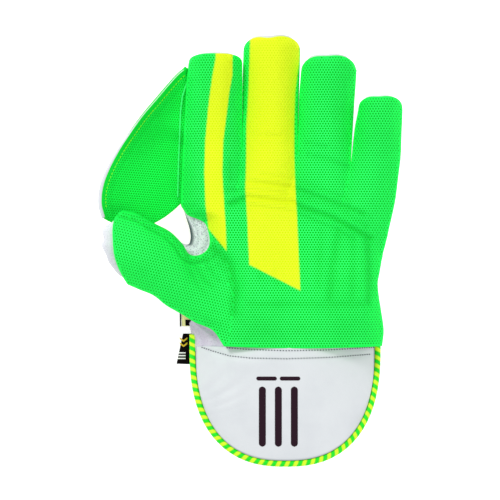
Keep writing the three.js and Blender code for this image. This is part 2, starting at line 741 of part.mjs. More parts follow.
// A padded flap between two grids of points, one above the other.
function padBetween(topRows, bottomRows) {
  const width = topRows[0].length;
  const points = [...topRows.flat(), ...bottomRows.flat()];
  const count = topRows.length * width;
  const triangles = [];
  const side = (a, b) => triangles.push([a, b, b + count], [a, b + count, a + count]);
  for (let j = 0; j + 1 < topRows.length; j += 1) {
    for (let i = 0; i + 1 < width; i += 1) {
      const start = j * width + i;
      const corners = [start, start + 1, start + 1 + width, start + width];
      const [a, b, c, d] = corners;
      triangles.push([a, b, c], [a, c, d]);
      triangles.push([a + count, c + count, b + count], [a + count, d + count, c + count]);
    }
    side(j * width, (j + 1) * width);
    side((j + 2) * width - 1, (j + 1) * width - 1);
  }
  for (let i = 0; i + 1 < width; i += 1) {
    side(i + 1, i);
    side(count - width + i, count - width + i + 1);
  }
  return solidGeometry(points, triangles);
}

// Cuff flaps: half a superellipse that hangs from the wrist seam. share runs across from
// -1 to 1 and down from the seam to the rim.
const cuffCentre = -0.086 * palmWidth;
const cuffAngles = Array.from({ length: 15 }, (_, i) => (Math.PI * (i / 14 - 0.5)) * 0.985);
const cuffDown = [0, 0.25, 0.5, 0.75, 0.92, 1];

function rim(share) {
  return (1 - Math.abs(share) ** cuffRoundness) ** (1 / cuffRoundness);
}

function cuffRows(inset, heightAt) {
  const halfWidth = cuffWidth / 2 - pipingDiameter - gap - inset;
  const length = cuffLength - pipingDiameter - gap - inset;
  return cuffDown.map((down) => cuffAngles.map((angle) => {
    const share = Math.sin(angle);
    const reach = down * rim(share);
    const edge = Math.max(Math.abs(share), down);
    return new THREE.Vector3(cuffCentre + halfWidth * share, -gap - length * reach, heightAt(share, reach, edge));
  }));
}

const cuffRim = (edge) => cuffThickness * 0.22 * edge ** 6;
const palmCuffTop = (share, reach, edge) => {
  const arch = cuffArch * Math.abs(share) ** 2.2 * (1 - 0.45 * reach);
  return palmHeight - wristDrop + cuffFlare * reach - arch - cuffRim(edge);
};
const palmCuffBottom = (share, reach, edge) => {
  return palmCuffTop(share, reach, edge) - cuffThickness + 2 * cuffRim(edge);
};
const backCuffBottom = (share, reach, edge) => {
  const arch = 0.86 * cuffArch * Math.max(0, Math.abs(share) - 0.35) ** 1.6 * (1 - 0.85 * reach ** 0.6);
  return 1.5 * arch + 0.3 * cuffRim(edge) * (Math.abs(share) > 0.35 || reach > 0.6 ? 1 : 0);
};
const backCuffTop = (share, reach, edge) => {
  return backCuffBottom(share, reach, 0) + cuffThickness - 1.3 * cuffRim(edge);
};
const palmCuff = padBetween(cuffRows(0, palmCuffTop), cuffRows(0, palmCuffBottom));
const backCuff = padBetween(cuffRows(backCuffSetback, backCuffTop), cuffRows(backCuffSetback, backCuffBottom));

// Piping: a cord all round a flap's rim, level with the middle of its edge.
function cuffPiping(inset, topAt, bottomAt) {
  const centreOffset = pipingDiameter / 2 + 1.2 * gap;
  const halfWidth = cuffWidth / 2 - pipingDiameter - gap - inset;
  const length = cuffLength - pipingDiameter - gap - inset;
  const place = (angle) => {
    const share = Math.sin(angle);
    return new THREE.Vector3(
      cuffCentre + halfWidth * share,
      -gap - length * rim(share),
      (topAt(share, rim(share), 1) + bottomAt(share, rim(share), 1)) / 2,
    );
  };
  const count = 24;
  const points = Array.from({ length: count + 1 }, (_, i) => {
    const angle = cuffAngles[0] + ((cuffAngles.at(-1) - cuffAngles[0]) * i) / count;
    const here = place(angle);
    const step = 0.01;
    const ahead = place(Math.min(cuffAngles.at(-1), angle + step));
    const behind = place(Math.max(cuffAngles[0], angle - step));
    const outwards = new THREE.Vector3(ahead.y - behind.y, behind.x - ahead.x, 0).normalize();
    return here.addScaledVector(outwards, centreOffset);
  });
  return cord(points, pipingDiameter, 36, 6);
}

// The black loop and the pale tab lie on the back flap's thumb side, under the wrist gusset.
const trimTop = backCuffTop(1, 0, 1) + gap + labelThickness;

// Gussets: a folded sheet between two edges given as shares of palmWidth and palmLength,
// each row with the heights of its two ends as shares of the rise from the foot to the top.
function gusset({ rows, folds, thickness, footZ, topZ }) {
  const steps = 4;
  const grid = rows.map((row) => Array.from({ length: steps + 1 }, (_, i) => {
    const share = i / steps;
    const x = palmWidth * lerp(row.inX, row.outX, share);
    const y = palmLength * lerp(row.inY, row.outY, share);
    const fall = lerp(row.inZ, row.outZ, share ** 1.3);
    const fold = 0.06 * Math.sin(folds * Math.PI * share) * (row.fold ?? 1);
    return new THREE.Vector3(x, y, lerp(footZ, topZ, fall + fold));
  }));
  return toManifold(sheetFromRows(grid, () => thickness))
    .subtract(thumbGrown)
    .subtract(handGrown)
    .subtract(facingBelow);
}

const crotchGusset = gusset({
  folds: 3,
  thickness: suedeThickness,
  footZ: palmHeight - 2.2 * sideDrop,
  topZ: palmHeight - 0.85 * sideDrop,
  rows: [
    { inX: -0.53, inY: 0.665, inZ: 0.61, outX: -0.578, outY: 0.7, outZ: 0.22, fold: 0 },
    { inX: -0.49, inY: 0.645, inZ: 0.78, outX: -0.561, outY: 0.646, outZ: 0.06 },
    { inX: -0.455, inY: 0.61, inZ: 0.94, outX: -0.546, outY: 0.6, outZ: 0 },
    { inX: -0.43, inY: 0.545, inZ: 1, outX: -0.539, outY: 0.56, outZ: 0 },
    { inX: -0.45, inY: 0.48, inZ: 0.94, outX: -0.546, outY: 0.532, outZ: 0 },
    { inX: -0.5, inY: 0.45, inZ: 0.78, outX: -0.561, outY: 0.526, outZ: 0.06 },
    { inX: -0.545, inY: 0.46, inZ: 0.67, outX: -0.585, outY: 0.535, outZ: 0.22, fold: 0 },
  ],
});

const wristGusset = gusset({
  folds: 2,
  thickness: leatherThickness,
  footZ: trimTop + gap + leatherThickness,
  topZ: palmHeight - thumbCrown - 0.5 * gap,
  rows: [
    { inX: -0.37, inY: 0.018, inZ: 0.93, outX: -0.47, outY: 0.014, outZ: 0.13, fold: 0 },
    { inX: -0.385, inY: 0.05, inZ: 1, outX: -0.5, outY: 0.018, outZ: 0.07 },
    { inX: -0.41, inY: 0.085, inZ: 1, outX: -0.525, outY: 0.025, outZ: 0.03 },
    { inX: -0.45, inY: 0.11, inZ: 1, outX: -0.54, outY: 0.045, outZ: 0 },
    { inX: -0.49, inY: 0.13, inZ: 0.93, outX: -0.548, outY: 0.07, outZ: 0 },
    { inX: -0.52, inY: 0.16, inZ: 0.8, outX: -0.552, outY: 0.11, outZ: 0, fold: 0 },
  ],
});

// Flat trim: a strip from a centre line's two ends, wider at one of them.
function strip(from, to, widthFrom, widthTo, thickness) {
  const along = new THREE.Vector2(to.x - from.x, to.y - from.y).normalize();
  const rows = [[from, widthFrom], [to, widthTo]].map(([end, width]) => [-0.5, 0, 0.5].map((side) => {
    return new THREE.Vector3(end.x + along.y * side * width, end.y - along.x * side * width, end.z);
  }));
  return sheetFromRows(rows, () => thickness);
}

const cuffSide = cuffCentre - cuffWidth / 2;

// A piece of trim that stands out beyond the cuff's thumb side and is tucked under the leather.
function sideTrim(standOut, tucked, along, length, taper, thickness) {
  return strip(
    new THREE.Vector3(cuffSide + tucked, along, trimTop),
    new THREE.Vector3(cuffSide - standOut, along - taper, trimTop),
    length - 2 * taper,
    length,
    thickness,
  );
}

const sideLabel = sideTrim(labelWidth, labelTuck, -0.02 * palmLength, labelLength, 0.4, labelThickness);
const pullTab = sideTrim(tabWidth, tabTuck, 0.135 * palmLength, tabLength, 0, tabThickness);

const facingMaterial = { color: 0x1fe35a, roughness: 0.62, metalness: 0 };
const yellowMaterial = { color: 0xe8fb2a, roughness: 0.6, metalness: 0 };
const leatherMaterial = { color: 0xe9ecef, roughness: 0.45, metalness: 0 };
const suedeMaterial = { color: 0xd5d8dc, roughness: 0.85, metalness: 0 };
const blackMaterial = { color: 0x16161a, roughness: 0.7, metalness: 0 };
const paleMaterial = { color: 0xf0ef9a, roughness: 0.6, metalness: 0 };
const pipingMaterial = { color: 0x35e81e, roughness: 0.5, metalness: 0 };

const group = new THREE.Group();

function addMesh(name, geometry, material) {
  const mesh = new THREE.Mesh(geometry, new THREE.MeshStandardMaterial(material));
  mesh.name = name;
  group.add(mesh);
  return mesh;
}

addMesh('palm_facing', toGeometry(facingCut), facingMaterial);
stripes.forEach((stripe, k) => addMesh(stripe.name, toGeometry(stripeSolids[k]), yellowMaterial));
fingers.forEach((finger, k) => addMesh(finger.name, stall(k), leatherMaterial));
addMesh('hand_shell', toGeometry(handShell), leatherMaterial);
addMesh('thumb_shell', toGeometry(thumbShell), leatherMaterial);
addMesh('web_panel', toGeometry(webSolid), facingMaterial);
addMesh('web_backing', toGeometry(backingSolid), yellowMaterial);
addMesh('web_binding', toGeometry(webBinding), leatherMaterial);

addMesh('crotch_gusset', toGeometry(crotchGusset), suedeMaterial);
addMesh('wrist_gusset', toGeometry(wristGusset), leatherMaterial);
addMesh('palm_cuff', palmCuff, leatherMaterial);
addMesh('back_cuff', backCuff, leatherMaterial);
addMesh('palm_cuff_piping', cuffPiping(0, palmCuffTop, palmCuffBottom), pipingMaterial);
addMesh('back_cuff_piping', cuffPiping(backCuffSetback, backCuffTop, backCuffBottom), pipingMaterial);

addMesh('side_label', sideLabel, blackMaterial);
addMesh('pull_tab', pullTab, paleMaterial);

const box = new THREE.Box3().setFromObject(group);
group.position.set(-(box.min.x + box.max.x) / 2, -(box.min.y + box.max.y) / 2, -box.min.z);

export default group;
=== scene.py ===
import math
import bpy
import numpy as np
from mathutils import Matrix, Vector


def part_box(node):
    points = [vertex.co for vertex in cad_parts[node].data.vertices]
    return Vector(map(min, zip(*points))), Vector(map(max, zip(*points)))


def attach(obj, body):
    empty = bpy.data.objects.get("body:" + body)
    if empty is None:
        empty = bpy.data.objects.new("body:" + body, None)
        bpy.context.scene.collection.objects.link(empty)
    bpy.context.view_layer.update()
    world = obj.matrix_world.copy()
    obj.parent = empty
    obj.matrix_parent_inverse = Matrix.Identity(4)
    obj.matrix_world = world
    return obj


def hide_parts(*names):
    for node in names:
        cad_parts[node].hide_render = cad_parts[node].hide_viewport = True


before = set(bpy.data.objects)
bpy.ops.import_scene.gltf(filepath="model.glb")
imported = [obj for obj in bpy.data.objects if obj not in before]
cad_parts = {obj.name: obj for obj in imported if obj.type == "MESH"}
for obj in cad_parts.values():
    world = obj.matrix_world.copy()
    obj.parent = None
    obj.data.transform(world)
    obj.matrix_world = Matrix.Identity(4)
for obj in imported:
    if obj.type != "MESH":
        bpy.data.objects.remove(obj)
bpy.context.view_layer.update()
print("frame loaded")

mm = 0.001

# Hand sizes in millimetres, the same as the solids have
hand = {
    "palmWidth": 139, "palmLength": 131, "palmHeight": 50, "pocketDepth": 6, "heelRise": 5,
    "wristDrop": 4, "sideDrop": 13, "thumbCrease": 5, "leather": 2, "padding": 6,
    "facing": 2.6, "gap": 0.3,
}
fingerSizes = {
    "curl": 17, "crown": 12, "depth": 31,
    "lengths": [61.3, 76.4, 68.2, 42.8],
    "tipShares": [0.92, 1.05, 1.05, 0.9],      # tip width as a share of the root's
    "leans": [0.014, 0.01, 0.021, 0.02],       # shares of the palm's width
}
thumb = {
    "length": 88, "width": 42, "angle": 31, "rise": 13, "crown": 13, "depth": 31, "tip": 12,
    "across": -0.384, "along": 0.254,          # the middle of its root on the palm
}
palmWidth, palmLength, palmHeight = hand["palmWidth"], hand["palmLength"], hand["palmHeight"]

# Where the hand's own origin lies in the frame: the wrist seam, and the middle of the cuff
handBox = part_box("hand_shell")
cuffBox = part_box("palm_cuff")
origin = np.array([
    (cuffBox[0].x + cuffBox[1].x) / 2 / mm + 0.086 * palmWidth,
    handBox[0].y / mm,
    0.0,
])


# The place a share t of the way from a to b
def lerp(a, b, t):
    return a + (b - a) * t


# From 0 at low to 1 at high, as 3t^2 - 2t^3 of the share t of the way between them
def smooth(low, high, value):
    t = np.clip((value - low) / (high - low), 0, 1)
    return t * t * (3 - 2 * t)


# 1 at the centre, and e^-(distance / width)^2 away from it
def bell(value, centre, width):
    return np.exp(-(((value - centre) / width) ** 2))


# Vectors divided by their own lengths
def unit(vectors):
    return vectors / np.maximum(np.linalg.norm(vectors, axis=-1, keepdims=True), 1e-9)


# A smooth curve through control points along the first axis, read at fractional places:
# the cubic whose slope at each point is half the step between its neighbours
def through(control, places):
    control = np.asarray(control, float)
    places = np.asarray(places, float)
    padded = np.concatenate([
        2 * control[:1] - control[1:2], control, 2 * control[-1:] - control[-2:-1]])
    k = np.clip(np.floor(places).astype(int), 0, len(control) - 2)
    t = (places - k).reshape((-1,) + (1,) * (control.ndim - 1))
    a, b, c, d = padded[k], padded[k + 1], padded[k + 2], padded[k + 3]
    return 0.5 * (2 * b + (c - a) * t + (2 * a - 5 * b + 4 * c - d) * t ** 2
                  + (3 * b - a - 3 * c + d) * t ** 3)


# The same round a closed loop along the second axis, so many samples to each control point
def roundLoop(loops, samples):
    count = loops.shape[1]
    wrapped = np.concatenate([loops[:, -2:], loops, loops[:, :3]], axis=1)
    places = 2 + np.arange(count * samples) / samples
    return through(np.swapaxes(wrapped, 0, 1), places).swapaxes(0, 1)


# Distance from each point, in plan, to a broken line
def distanceTo(points, line):
    best = np.full(points.shape[:-1], 1e9)
    for a, b in zip(np.asarray(line[:-1], float), np.asarray(line[1:], float)):
        side = b - a
        t = np.clip(((points[..., :2] - a) @ side) / (side @ side), 0, 1)
        foot = a + t[..., None] * side
        best = np.minimum(best, np.linalg.norm(points[..., :2] - foot, axis=-1))
    return best


# True where a point lies inside an outline, in plan: an odd number of sides cross its row
def insideOutline(points, outline):
    x, y = points[..., 0], points[..., 1]
    inside = np.zeros(x.shape, bool)
    for (x0, y0), (x1, y1) in zip(outline, np.roll(outline, -1, axis=0)):
        crosses = (y0 > y) != (y1 > y)
        with np.errstate(divide="ignore", invalid="ignore"):
            at = (x1 - x0) * (y - y0) / (y1 - y0) + x0
        inside ^= crosses & (x < at)
    return inside


# Quads of a grid of so many rows and columns, numbered row by row
def gridQuads(rows, columns, closed=False):
    j, i = np.meshgrid(np.arange(rows - 1), np.arange(columns if closed else columns - 1), indexing="ij")
    nextI = (i + 1) % columns
    quads = np.stack([j * columns + i, j * columns + nextI,
                      (j + 1) * columns + nextI, (j + 1) * columns + i], -1)
    return quads.reshape(-1, 4)


# Several grids joined into one sheet, where points that coincide become one. The last grid's
# quads run the other way round
def joined(grids):
    points, quads = [], []
    for k, grid in enumerate(grids):
        part = gridQuads(*grid.shape[:2]) + sum(len(group) for group in points)
        points.append(grid.reshape(-1, 3))
        quads.append(part[:, ::-1] if k == len(grids) - 1 else part)
    points = np.concatenate(points)
    keys = np.round(points / 0.002).astype(np.int64)
    _, first, back = np.unique(keys, axis=0, return_index=True, return_inverse=True)
    return points[first], back.reshape(-1)[np.concatenate(quads)]


# Mean of the faces' normals at each point
def pointNormals(points, quads):
    a, b, c, d = (points[quads[:, k]] for k in range(4))
    faceNormals = np.cross(c - a, d - b)
    normals = np.zeros_like(points)
    for k in range(4):
        np.add.at(normals, quads[:, k], faceNormals)
    return unit(normals)


# Two like sheets made one body: quads between the open edges of both close the rim
def closeSheets(upper, lower, quads):
    count = len(upper)
    edges = np.concatenate([quads[:, [k, (k + 1) % 4]] for k in range(4)])
    edges = edges[edges[:, 0] != edges[:, 1]]
    forward = edges[:, 0].astype(np.int64) * count + edges[:, 1]
    backward = edges[:, 1].astype(np.int64) * count + edges[:, 0]
    rim = edges[~np.isin(forward, backward)]
    sides = np.stack([rim[:, 1], rim[:, 0], rim[:, 0] + count, rim[:, 1] + count], -1)
    return np.concatenate([upper, lower]), np.concatenate([quads, quads[:, ::-1] + count, sides])


# A sheet with its wall: the underside is the sheet moved along its normals
def thicken(points, quads, thickness, normals=None):
    normals = pointNormals(points, quads) if normals is None else normals
    return closeSheets(points, points - normals * thickness, quads)


# The same for a grid, which is first turned to look up
def thickenGrid(grid, thickness):
    points, quads = grid.reshape(-1, 3), gridQuads(*grid.shape[:2])
    if pointNormals(points, quads)[:, 2].mean() < 0:
        quads = quads[:, ::-1]
    return thicken(points, quads, thickness)


# Edges that only one quad has
def openEdges(quads):
    edges = np.sort(np.concatenate([quads[:, [k, (k + 1) % 4]] for k in range(4)]), axis=1)
    edges, uses = np.unique(edges[edges[:, 0] != edges[:, 1]], axis=0, return_counts=True)
    return edges[uses == 1]


# Values drawn towards the mean of their neighbours by the given share, so many times
def evened(values, pairs, share, passes):
    count = np.maximum(np.bincount(pairs[:, 0], minlength=len(values)), 1)
    for _ in range(passes):
        sums = [np.bincount(pairs[:, 0], weights=column[pairs[:, 1]], minlength=len(values))
                for column in values.T]
        values = lerp(values, np.stack(sums, -1) / count[:, None], share[:, None])
    return values


# Six times the volume that the faces close in: below nothing where they look inwards
def signedVolume(points, faces):
    total = 0.0
    for group in faces:
        for k in range(1, group.shape[1] - 1):
            a, b, c = points[group[:, 0]], points[group[:, k]], points[group[:, k + 1]]
            total += (a * np.cross(b, c)).sum()
    return total


# One piece from points in the hand's own millimetres; its faces are turned to look outwards
def makeMesh(name, points, faces, material, body="root", replaces=(), smoothShade=True,
             attributes=None):
    faces = [np.asarray(group, np.int64) for group in (faces if isinstance(faces, list) else [faces])]
    if signedVolume(points, faces) < 0:
        faces = [group[:, ::-1] for group in faces]
    sizes = np.concatenate([np.full(len(group), group.shape[1]) for group in faces])
    corners = np.concatenate([group.reshape(-1) for group in faces])
    mesh = bpy.data.meshes.new(name)
    mesh.vertices.add(len(points))
    mesh.vertices.foreach_set("co", ((points + origin) * mm).astype(np.float32).ravel())
    mesh.loops.add(len(corners))
    mesh.loops.foreach_set("vertex_index", corners.astype(np.int32))
    mesh.polygons.add(len(sizes))
    mesh.polygons.foreach_set("loop_start", (np.cumsum(sizes) - sizes).astype(np.int32))
    mesh.polygons.foreach_set("use_smooth", np.full(len(sizes), smoothShade))
    for key, values in (attributes or {}).items():
        layer = mesh.attributes.new(key, "FLOAT", "POINT")
        layer.data.foreach_set("value", np.asarray(values, np.float32))
    mesh.update(calc_edges=True)
    mesh.validate()
    thing = bpy.data.objects.new(name, mesh)
    bpy.context.scene.collection.objects.link(thing)
    mesh.materials.append(material)
    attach(thing, body)
    if replaces:
        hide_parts(*replaces)
    return thing


# Materials: each starts as a plain shader with its roughness and shine
def newMaterial(name, roughness=0.5, specular=0.5):
    material = bpy.data.materials.new(name)
    material.use_nodes = True
    shader = material.node_tree.nodes["Principled BSDF"]
    shader.inputs["Roughness"].default_value = roughness
    shader.inputs["Specular IOR Level"].default_value = specular
    return material, material.node_tree, shader


# A node with some of its inputs set
def addNode(tree, kind, **inputs):
    node = tree.nodes.new(kind)
    for key, value in inputs.items():
        node.inputs[key].default_value = value
    return node


# A value times a factor, and plus another value where one is given
def scaled(tree, value, factor, plus=None):
    node = tree.nodes.new("ShaderNodeMath")
    node.operation = "MULTIPLY" if plus is None else "MULTIPLY_ADD"
    node.inputs[1].default_value = factor
    tree.links.new(value, node.inputs[0])
    if plus is not None:
        tree.links.new(plus, node.inputs[2])
    return node.outputs[0]


# A colour the given share of the way from the first to the second
def mixColours(tree, factor, first, second):
    node = tree.nodes.new("ShaderNodeMix")
    node.data_type = "RGBA"
    for socket, value in ((0, factor), (6, first), (7, second)):
        if isinstance(value, bpy.types.NodeSocket):
            tree.links.new(value, node.inputs[socket])
        else:
            node.inputs[socket].default_value = value
    return node.outputs[2]


# 0 at low, 1 at high, smooth between them
def ramp(tree, value, low, high):
    node = tree.nodes.new("ShaderNodeMapRange")
    node.interpolation_type = "SMOOTHSTEP"
    node.inputs["From Min"].default_value = low
    node.inputs["From Max"].default_value = high
    tree.links.new(value, node.inputs["Value"])
    return node.outputs["Result"]


# A value that a mesh carries at its points
def attributeValue(tree, name):
    node = tree.nodes.new("ShaderNodeAttribute")
    node.attribute_name = name
    return node.outputs["Fac"]


# Cloudy noise over the piece's own place, so many waves to a metre
def noiseValue(tree, scale, detail=3.0, roughness=0.55):
    place = tree.nodes.new("ShaderNodeTexCoord")
    node = addNode(tree, "ShaderNodeTexNoise", Scale=scale, Detail=detail, Roughness=roughness)
    tree.links.new(place.outputs["Object"], node.inputs["Vector"])
    return node.outputs["Fac"]


# Pebbles over the piece's own place: the distance to the nearest groove between cells
def grainValue(tree, scale):
    place = tree.nodes.new("ShaderNodeTexCoord")
    node = addNode(tree, "ShaderNodeTexVoronoi", Scale=scale)
    node.feature = "DISTANCE_TO_EDGE"
    tree.links.new(place.outputs["Object"], node.inputs["Vector"])
    return node.outputs["Distance"]


# Relief from a height, without moving a point
def bump(tree, shader, height, strength, distance):
    node = addNode(tree, "ShaderNodeBump", Strength=strength, Distance=distance)
    tree.links.new(height, node.inputs["Height"])
    tree.links.new(node.outputs["Normal"], shader.inputs["Normal"])


# A screen colour of 0 to 255 as a linear one
def linear(red, green, blue):
    values = [v / 255 for v in (red, green, blue)]
    return tuple(v / 12.92 if v <= 0.04045 else ((v + 0.055) / 1.055) ** 2.4 for v in values) + (1.0,)


# pale colours are painted highlights; deep colours are painted shade, and the slow random drift uses them too
rubberColours = {
    "green": linear(22, 254, 84), "shadeAndDriftGreen": linear(0, 168, 0), "highlightGreen": linear(66, 255, 128),
    "yellow": linear(230, 250, 38), "shadeAndDriftYellow": linear(208, 232, 0), "highlightYellow": linear(233, 250, 54),
}


# Rubber: green or yellow by the band attribute, with a painted highlight on a nub's ring and painted
# shade in its sunk middle and in the creases, and a slow random drift towards the darker colour over the
# sheet
def rubberMaterial():
    material, tree, shader = newMaterial("nubbed_rubber", roughness=0.7, specular=0.06)
    band = attributeValue(tree, "band")
    shadeToHighlight = attributeValue(tree, "shadeToHighlight")
    drift = ramp(tree, noiseValue(tree, 28.0, 2.0), 0.3, 0.7)
    base = mixColours(tree, band, rubberColours["green"], rubberColours["yellow"])
    deep = mixColours(tree, band, rubberColours["shadeAndDriftGreen"], rubberColours["shadeAndDriftYellow"])
    pale = mixColours(tree, band, rubberColours["highlightGreen"], rubberColours["highlightYellow"])
    # above 0.5 the colour goes towards a painted highlight, below it towards painted shade
    shaded = mixColours(tree, ramp(tree, shadeToHighlight, 0.5, 1.0), base, pale)
    shaded = mixColours(tree, ramp(tree, shadeToHighlight, 0.5, 0.0), shaded, deep)
    shaded = mixColours(tree, scaled(tree, drift, 0.12), shaded, deep)
    # the fold attribute adds painted shade in the creases and along the thumb's roll
    shaded = mixColours(tree, scaled(tree, attributeValue(tree, "fold"), 0.42), shaded, deep)
    tree.links.new(shaded, shader.inputs["Base Color"])
    bump(tree, shader, noiseValue(tree, 2500.0, 2.0), 0.15, 0.0002)
    return material


# Leather: a fine pebble grain under faint wrinkles, a little grey in the hollows, darker where the fold
# attribute says so: painted shade in fold valleys and along a flap's rim
def leatherMaterial(name, colour, hollow, roughness, grain=1.0, speckle=0.0, folds=False):
    material, tree, shader = newMaterial(name, roughness=roughness, specular=0.4)
    cloudy = ramp(tree, noiseValue(tree, 40.0, 4.0), 0.35, 0.75)
    shaded = mixColours(tree, scaled(tree, cloudy, 0.5), colour, hollow)
    if speckle:
        spots = ramp(tree, noiseValue(tree, 1100.0, 2.0, 0.8), 0.5, 0.66)
        shaded = mixColours(tree, scaled(tree, spots, speckle), shaded, linear(140, 142, 156))
    # painted shade towards a dark grey-green, as much as the fold attribute gives
    if folds:
        paintedShade = ramp(tree, attributeValue(tree, "fold"), 0.0, 1.0)
        shaded = mixColours(tree, paintedShade, shaded, linear(70, 84, 88))
    tree.links.new(shaded, shader.inputs["Base Color"])
    height = scaled(tree, grainValue(tree, 900.0), 0.6, noiseValue(tree, 220.0, 5.0))
    bump(tree, shader, height, 0.25 * grain, 0.0006)
    return material


# One colour, with a fine weave's relief where it has one
def plainMaterial(name, colour, roughness, weave=0.0, specular=0.3):
    material, tree, shader = newMaterial(name, roughness=roughness, specular=specular)
    shader.inputs["Base Color"].default_value = colour
    if weave:
        bump(tree, shader, noiseValue(tree, 1800.0, 1.0), weave, 0.0003)
    return material


# Cord: green and yellow strands by the strand attribute, painted shade in the grooves between them, and fine
# fibres
def cordMaterial():
    material, tree, shader = newMaterial("striped_cord", roughness=0.5, specular=0.3)
    strand = attributeValue(tree, "strand")
    colour = mixColours(tree, strand, linear(10, 226, 30), linear(214, 255, 34))
    # painted shade in the grooves between strands
    groove = ramp(tree, attributeValue(tree, "groove"), 0.0, 1.0)
    shaded = mixColours(tree, groove, colour, mixColours(tree, 0.45, colour, linear(20, 120, 10)))
    tree.links.new(shaded, shader.inputs["Base Color"])
    bump(tree, shader, noiseValue(tree, 2200.0, 2.0), 0.2, 0.0003)
    return material


rubber = rubberMaterial()
leather = leatherMaterial("white_leather", linear(213, 217, 220), linear(201, 205, 210), 0.45, folds=True)
thumbLeather = leatherMaterial("thumb_leather", linear(228, 231, 236), linear(200, 200, 210), 0.6, 1.3, 0.3)
wristLeather = leatherMaterial("wrist_leather", linear(214, 208, 222), linear(184, 178, 196), 0.7, 1.6, 0.35)
backLeather = leatherMaterial("back_leather", linear(220, 222, 228), linear(196, 198, 208), 0.55, 1.3)
suede = leatherMaterial("white_suede", linear(236, 240, 244), linear(212, 218, 224), 0.85, 1.6, 0.9, True)
black = plainMaterial("black_webbing", linear(12, 8, 8), 0.8, 0.4, 0.05)
pale = plainMaterial("pale_tab", linear(250, 246, 170), 0.5)
gold = plainMaterial("gold_thread", linear(214, 178, 40), 0.5)
whiteInk = plainMaterial("white_ink", linear(240, 240, 240), 0.6)
thread = plainMaterial("grey_thread", linear(74, 80, 88), 0.7, 0.0, 0.1)
limeThread = plainMaterial("lime_thread", linear(120, 240, 30), 0.6)
ink = plainMaterial("aubergine_ink", linear(40, 20, 32), 0.7, 0.0, 0.08)
cordStripes = cordMaterial()
print("materials made")

# Palm rows from the wrist seam to the knuckles: left, right and bow are shares of the palm's
# length, inner and outer shares of its width
palmRows = np.array([
    [0, 0, 0, -0.381, 0.382],
    [0.087, 0.081, 0, -0.355, 0.389],
    [0.188, 0.178, 0, -0.333, 0.376],
    [0.219, 0.209, 0, -0.329, 0.372],
    [0.249, 0.239, 0, -0.326, 0.367],
    [0.326, 0.316, 0.01, -0.331, 0.36],
    [0.407, 0.377, 0.03, -0.353, 0.369],
    [0.468, 0.417, 0.06, -0.398, 0.376],
    [0.509, 0.438, 0.09, -0.436, 0.379],
    [0.57, 0.453, 0.12, -0.453, 0.383],
    [0.631, 0.463, 0.14, -0.475, 0.384],
    [0.667, 0.47, 0.15, -0.552, 0.385],
    [0.69, 0.487, 0.15, -0.571, 0.389],
    [0.718, 0.514, 0.148, -0.588, 0.396],
    [0.743, 0.565, 0.132, -0.59, 0.408],
    [0.771, 0.611, 0.117, -0.59, 0.417],
    [0.801, 0.656, 0.097, -0.589, 0.427],
    [0.87, 0.753, 0.046, -0.585, 0.446],
    [0.952, 0.855, 0.015, -0.583, 0.458],
])
crotchAcross = np.array([0, 0.272, 0.524, 0.771, 1])
crotchAlong = np.array([1.033, 1.008, 0.982, 0.936, 0.957])
crotchEnds = (-0.578, 0.47)
fingerAlongs = np.array([0, 0.16, 0.34, 0.52, 0.7, 0.85, 0.945, 1])
fingerWidths = np.array([1, 1, 1, 1, 1, 0.995, 0.97, 0.88])
thumbRootRow = 8

# Thumb rows: upper edge along and across, lower edge along and across, bulge to the tip
thumbRows = np.array([
    [0.31, -0.39, -0.064, 0.55, -0.07],
    [0.385, -0.3, 0.08, 0.585, -0.02],
    [0.475, -0.385, 0.213, 0.583, 0.01],
    [0.6, -0.45, 0.335, 0.587, 0.03],
    [0.74, -0.437, 0.46, 0.555, 0.06],
    [0.88, -0.437, 0.57, 0.59, 0.085],
    [0.985, -0.37, 0.67, 0.62, 0.11],
])


# Place across a finger from -1 to 1, for a share across the palm
def acrossFinger(share):
    k = np.clip(np.searchsorted(crotchAcross, share + 1e-9, side="right") - 1, 0, 3)
    return 2 * (share - crotchAcross[k]) / (crotchAcross[k + 1] - crotchAcross[k]) - 1


# Palm height: less a pocket, more the heel pads, less rolls at both sides, less the fold by
# the thumb, less valleys that deepen towards the knuckles between the fingers
def palmZ(share, along):
    pocket = hand["pocketDepth"] * bell(share, 0.5, 0.33) * bell(along, 0.52, 0.3)
    heel = hand["heelRise"] * (bell(share, 0.84, 0.24) + 0.5 * bell(share, 0.2, 0.2)) * bell(along, 0.2, 0.17)
    wrist = hand["wristDrop"] * (1 - smooth(0, 0.16, along))
    outerRoll = hand["sideDrop"] * np.maximum(0, (share - 0.84) / 0.16) ** 2.2
    innerRoll = hand["sideDrop"] * np.maximum(0, (0.1 - share) / 0.1) ** 2 * smooth(0.5, 0.7, along)
    fold = hand["thumbCrease"] * bell(share, 0, 0.07) * bell(along, 0.36, 0.26) * smooth(0.7, 0.5, along)
    valleys = 0.6 * fingerSizes["crown"] * np.abs(acrossFinger(share)) ** 2.6 * smooth(0.6, 1, along)
    return palmHeight - pocket + heel - wrist - np.maximum(np.maximum(outerRoll, innerRoll), valleys) - fold


# Palm points: rows of the table joined by smooth curves, ending on the crotch line
def palmSheet(places, shares):
    left, right, bow, inner, outer = (palmRows[:, k:k + 1] for k in range(5))
    along = lerp(left, right, shares) + 4 * bow * shares * (1 - shares)
    rows = np.stack([palmWidth * lerp(inner, outer, shares), palmLength * along], -1)
    last = np.stack([palmWidth * lerp(*crotchEnds, shares),
                     palmLength * np.interp(shares, crotchAcross, crotchAlong)], -1)
    plan = through(np.concatenate([rows, last[None]]), places)
    z = palmZ(shares[None], plan[..., 1] / palmLength)
    return np.concatenate([plan, z[..., None]], -1)


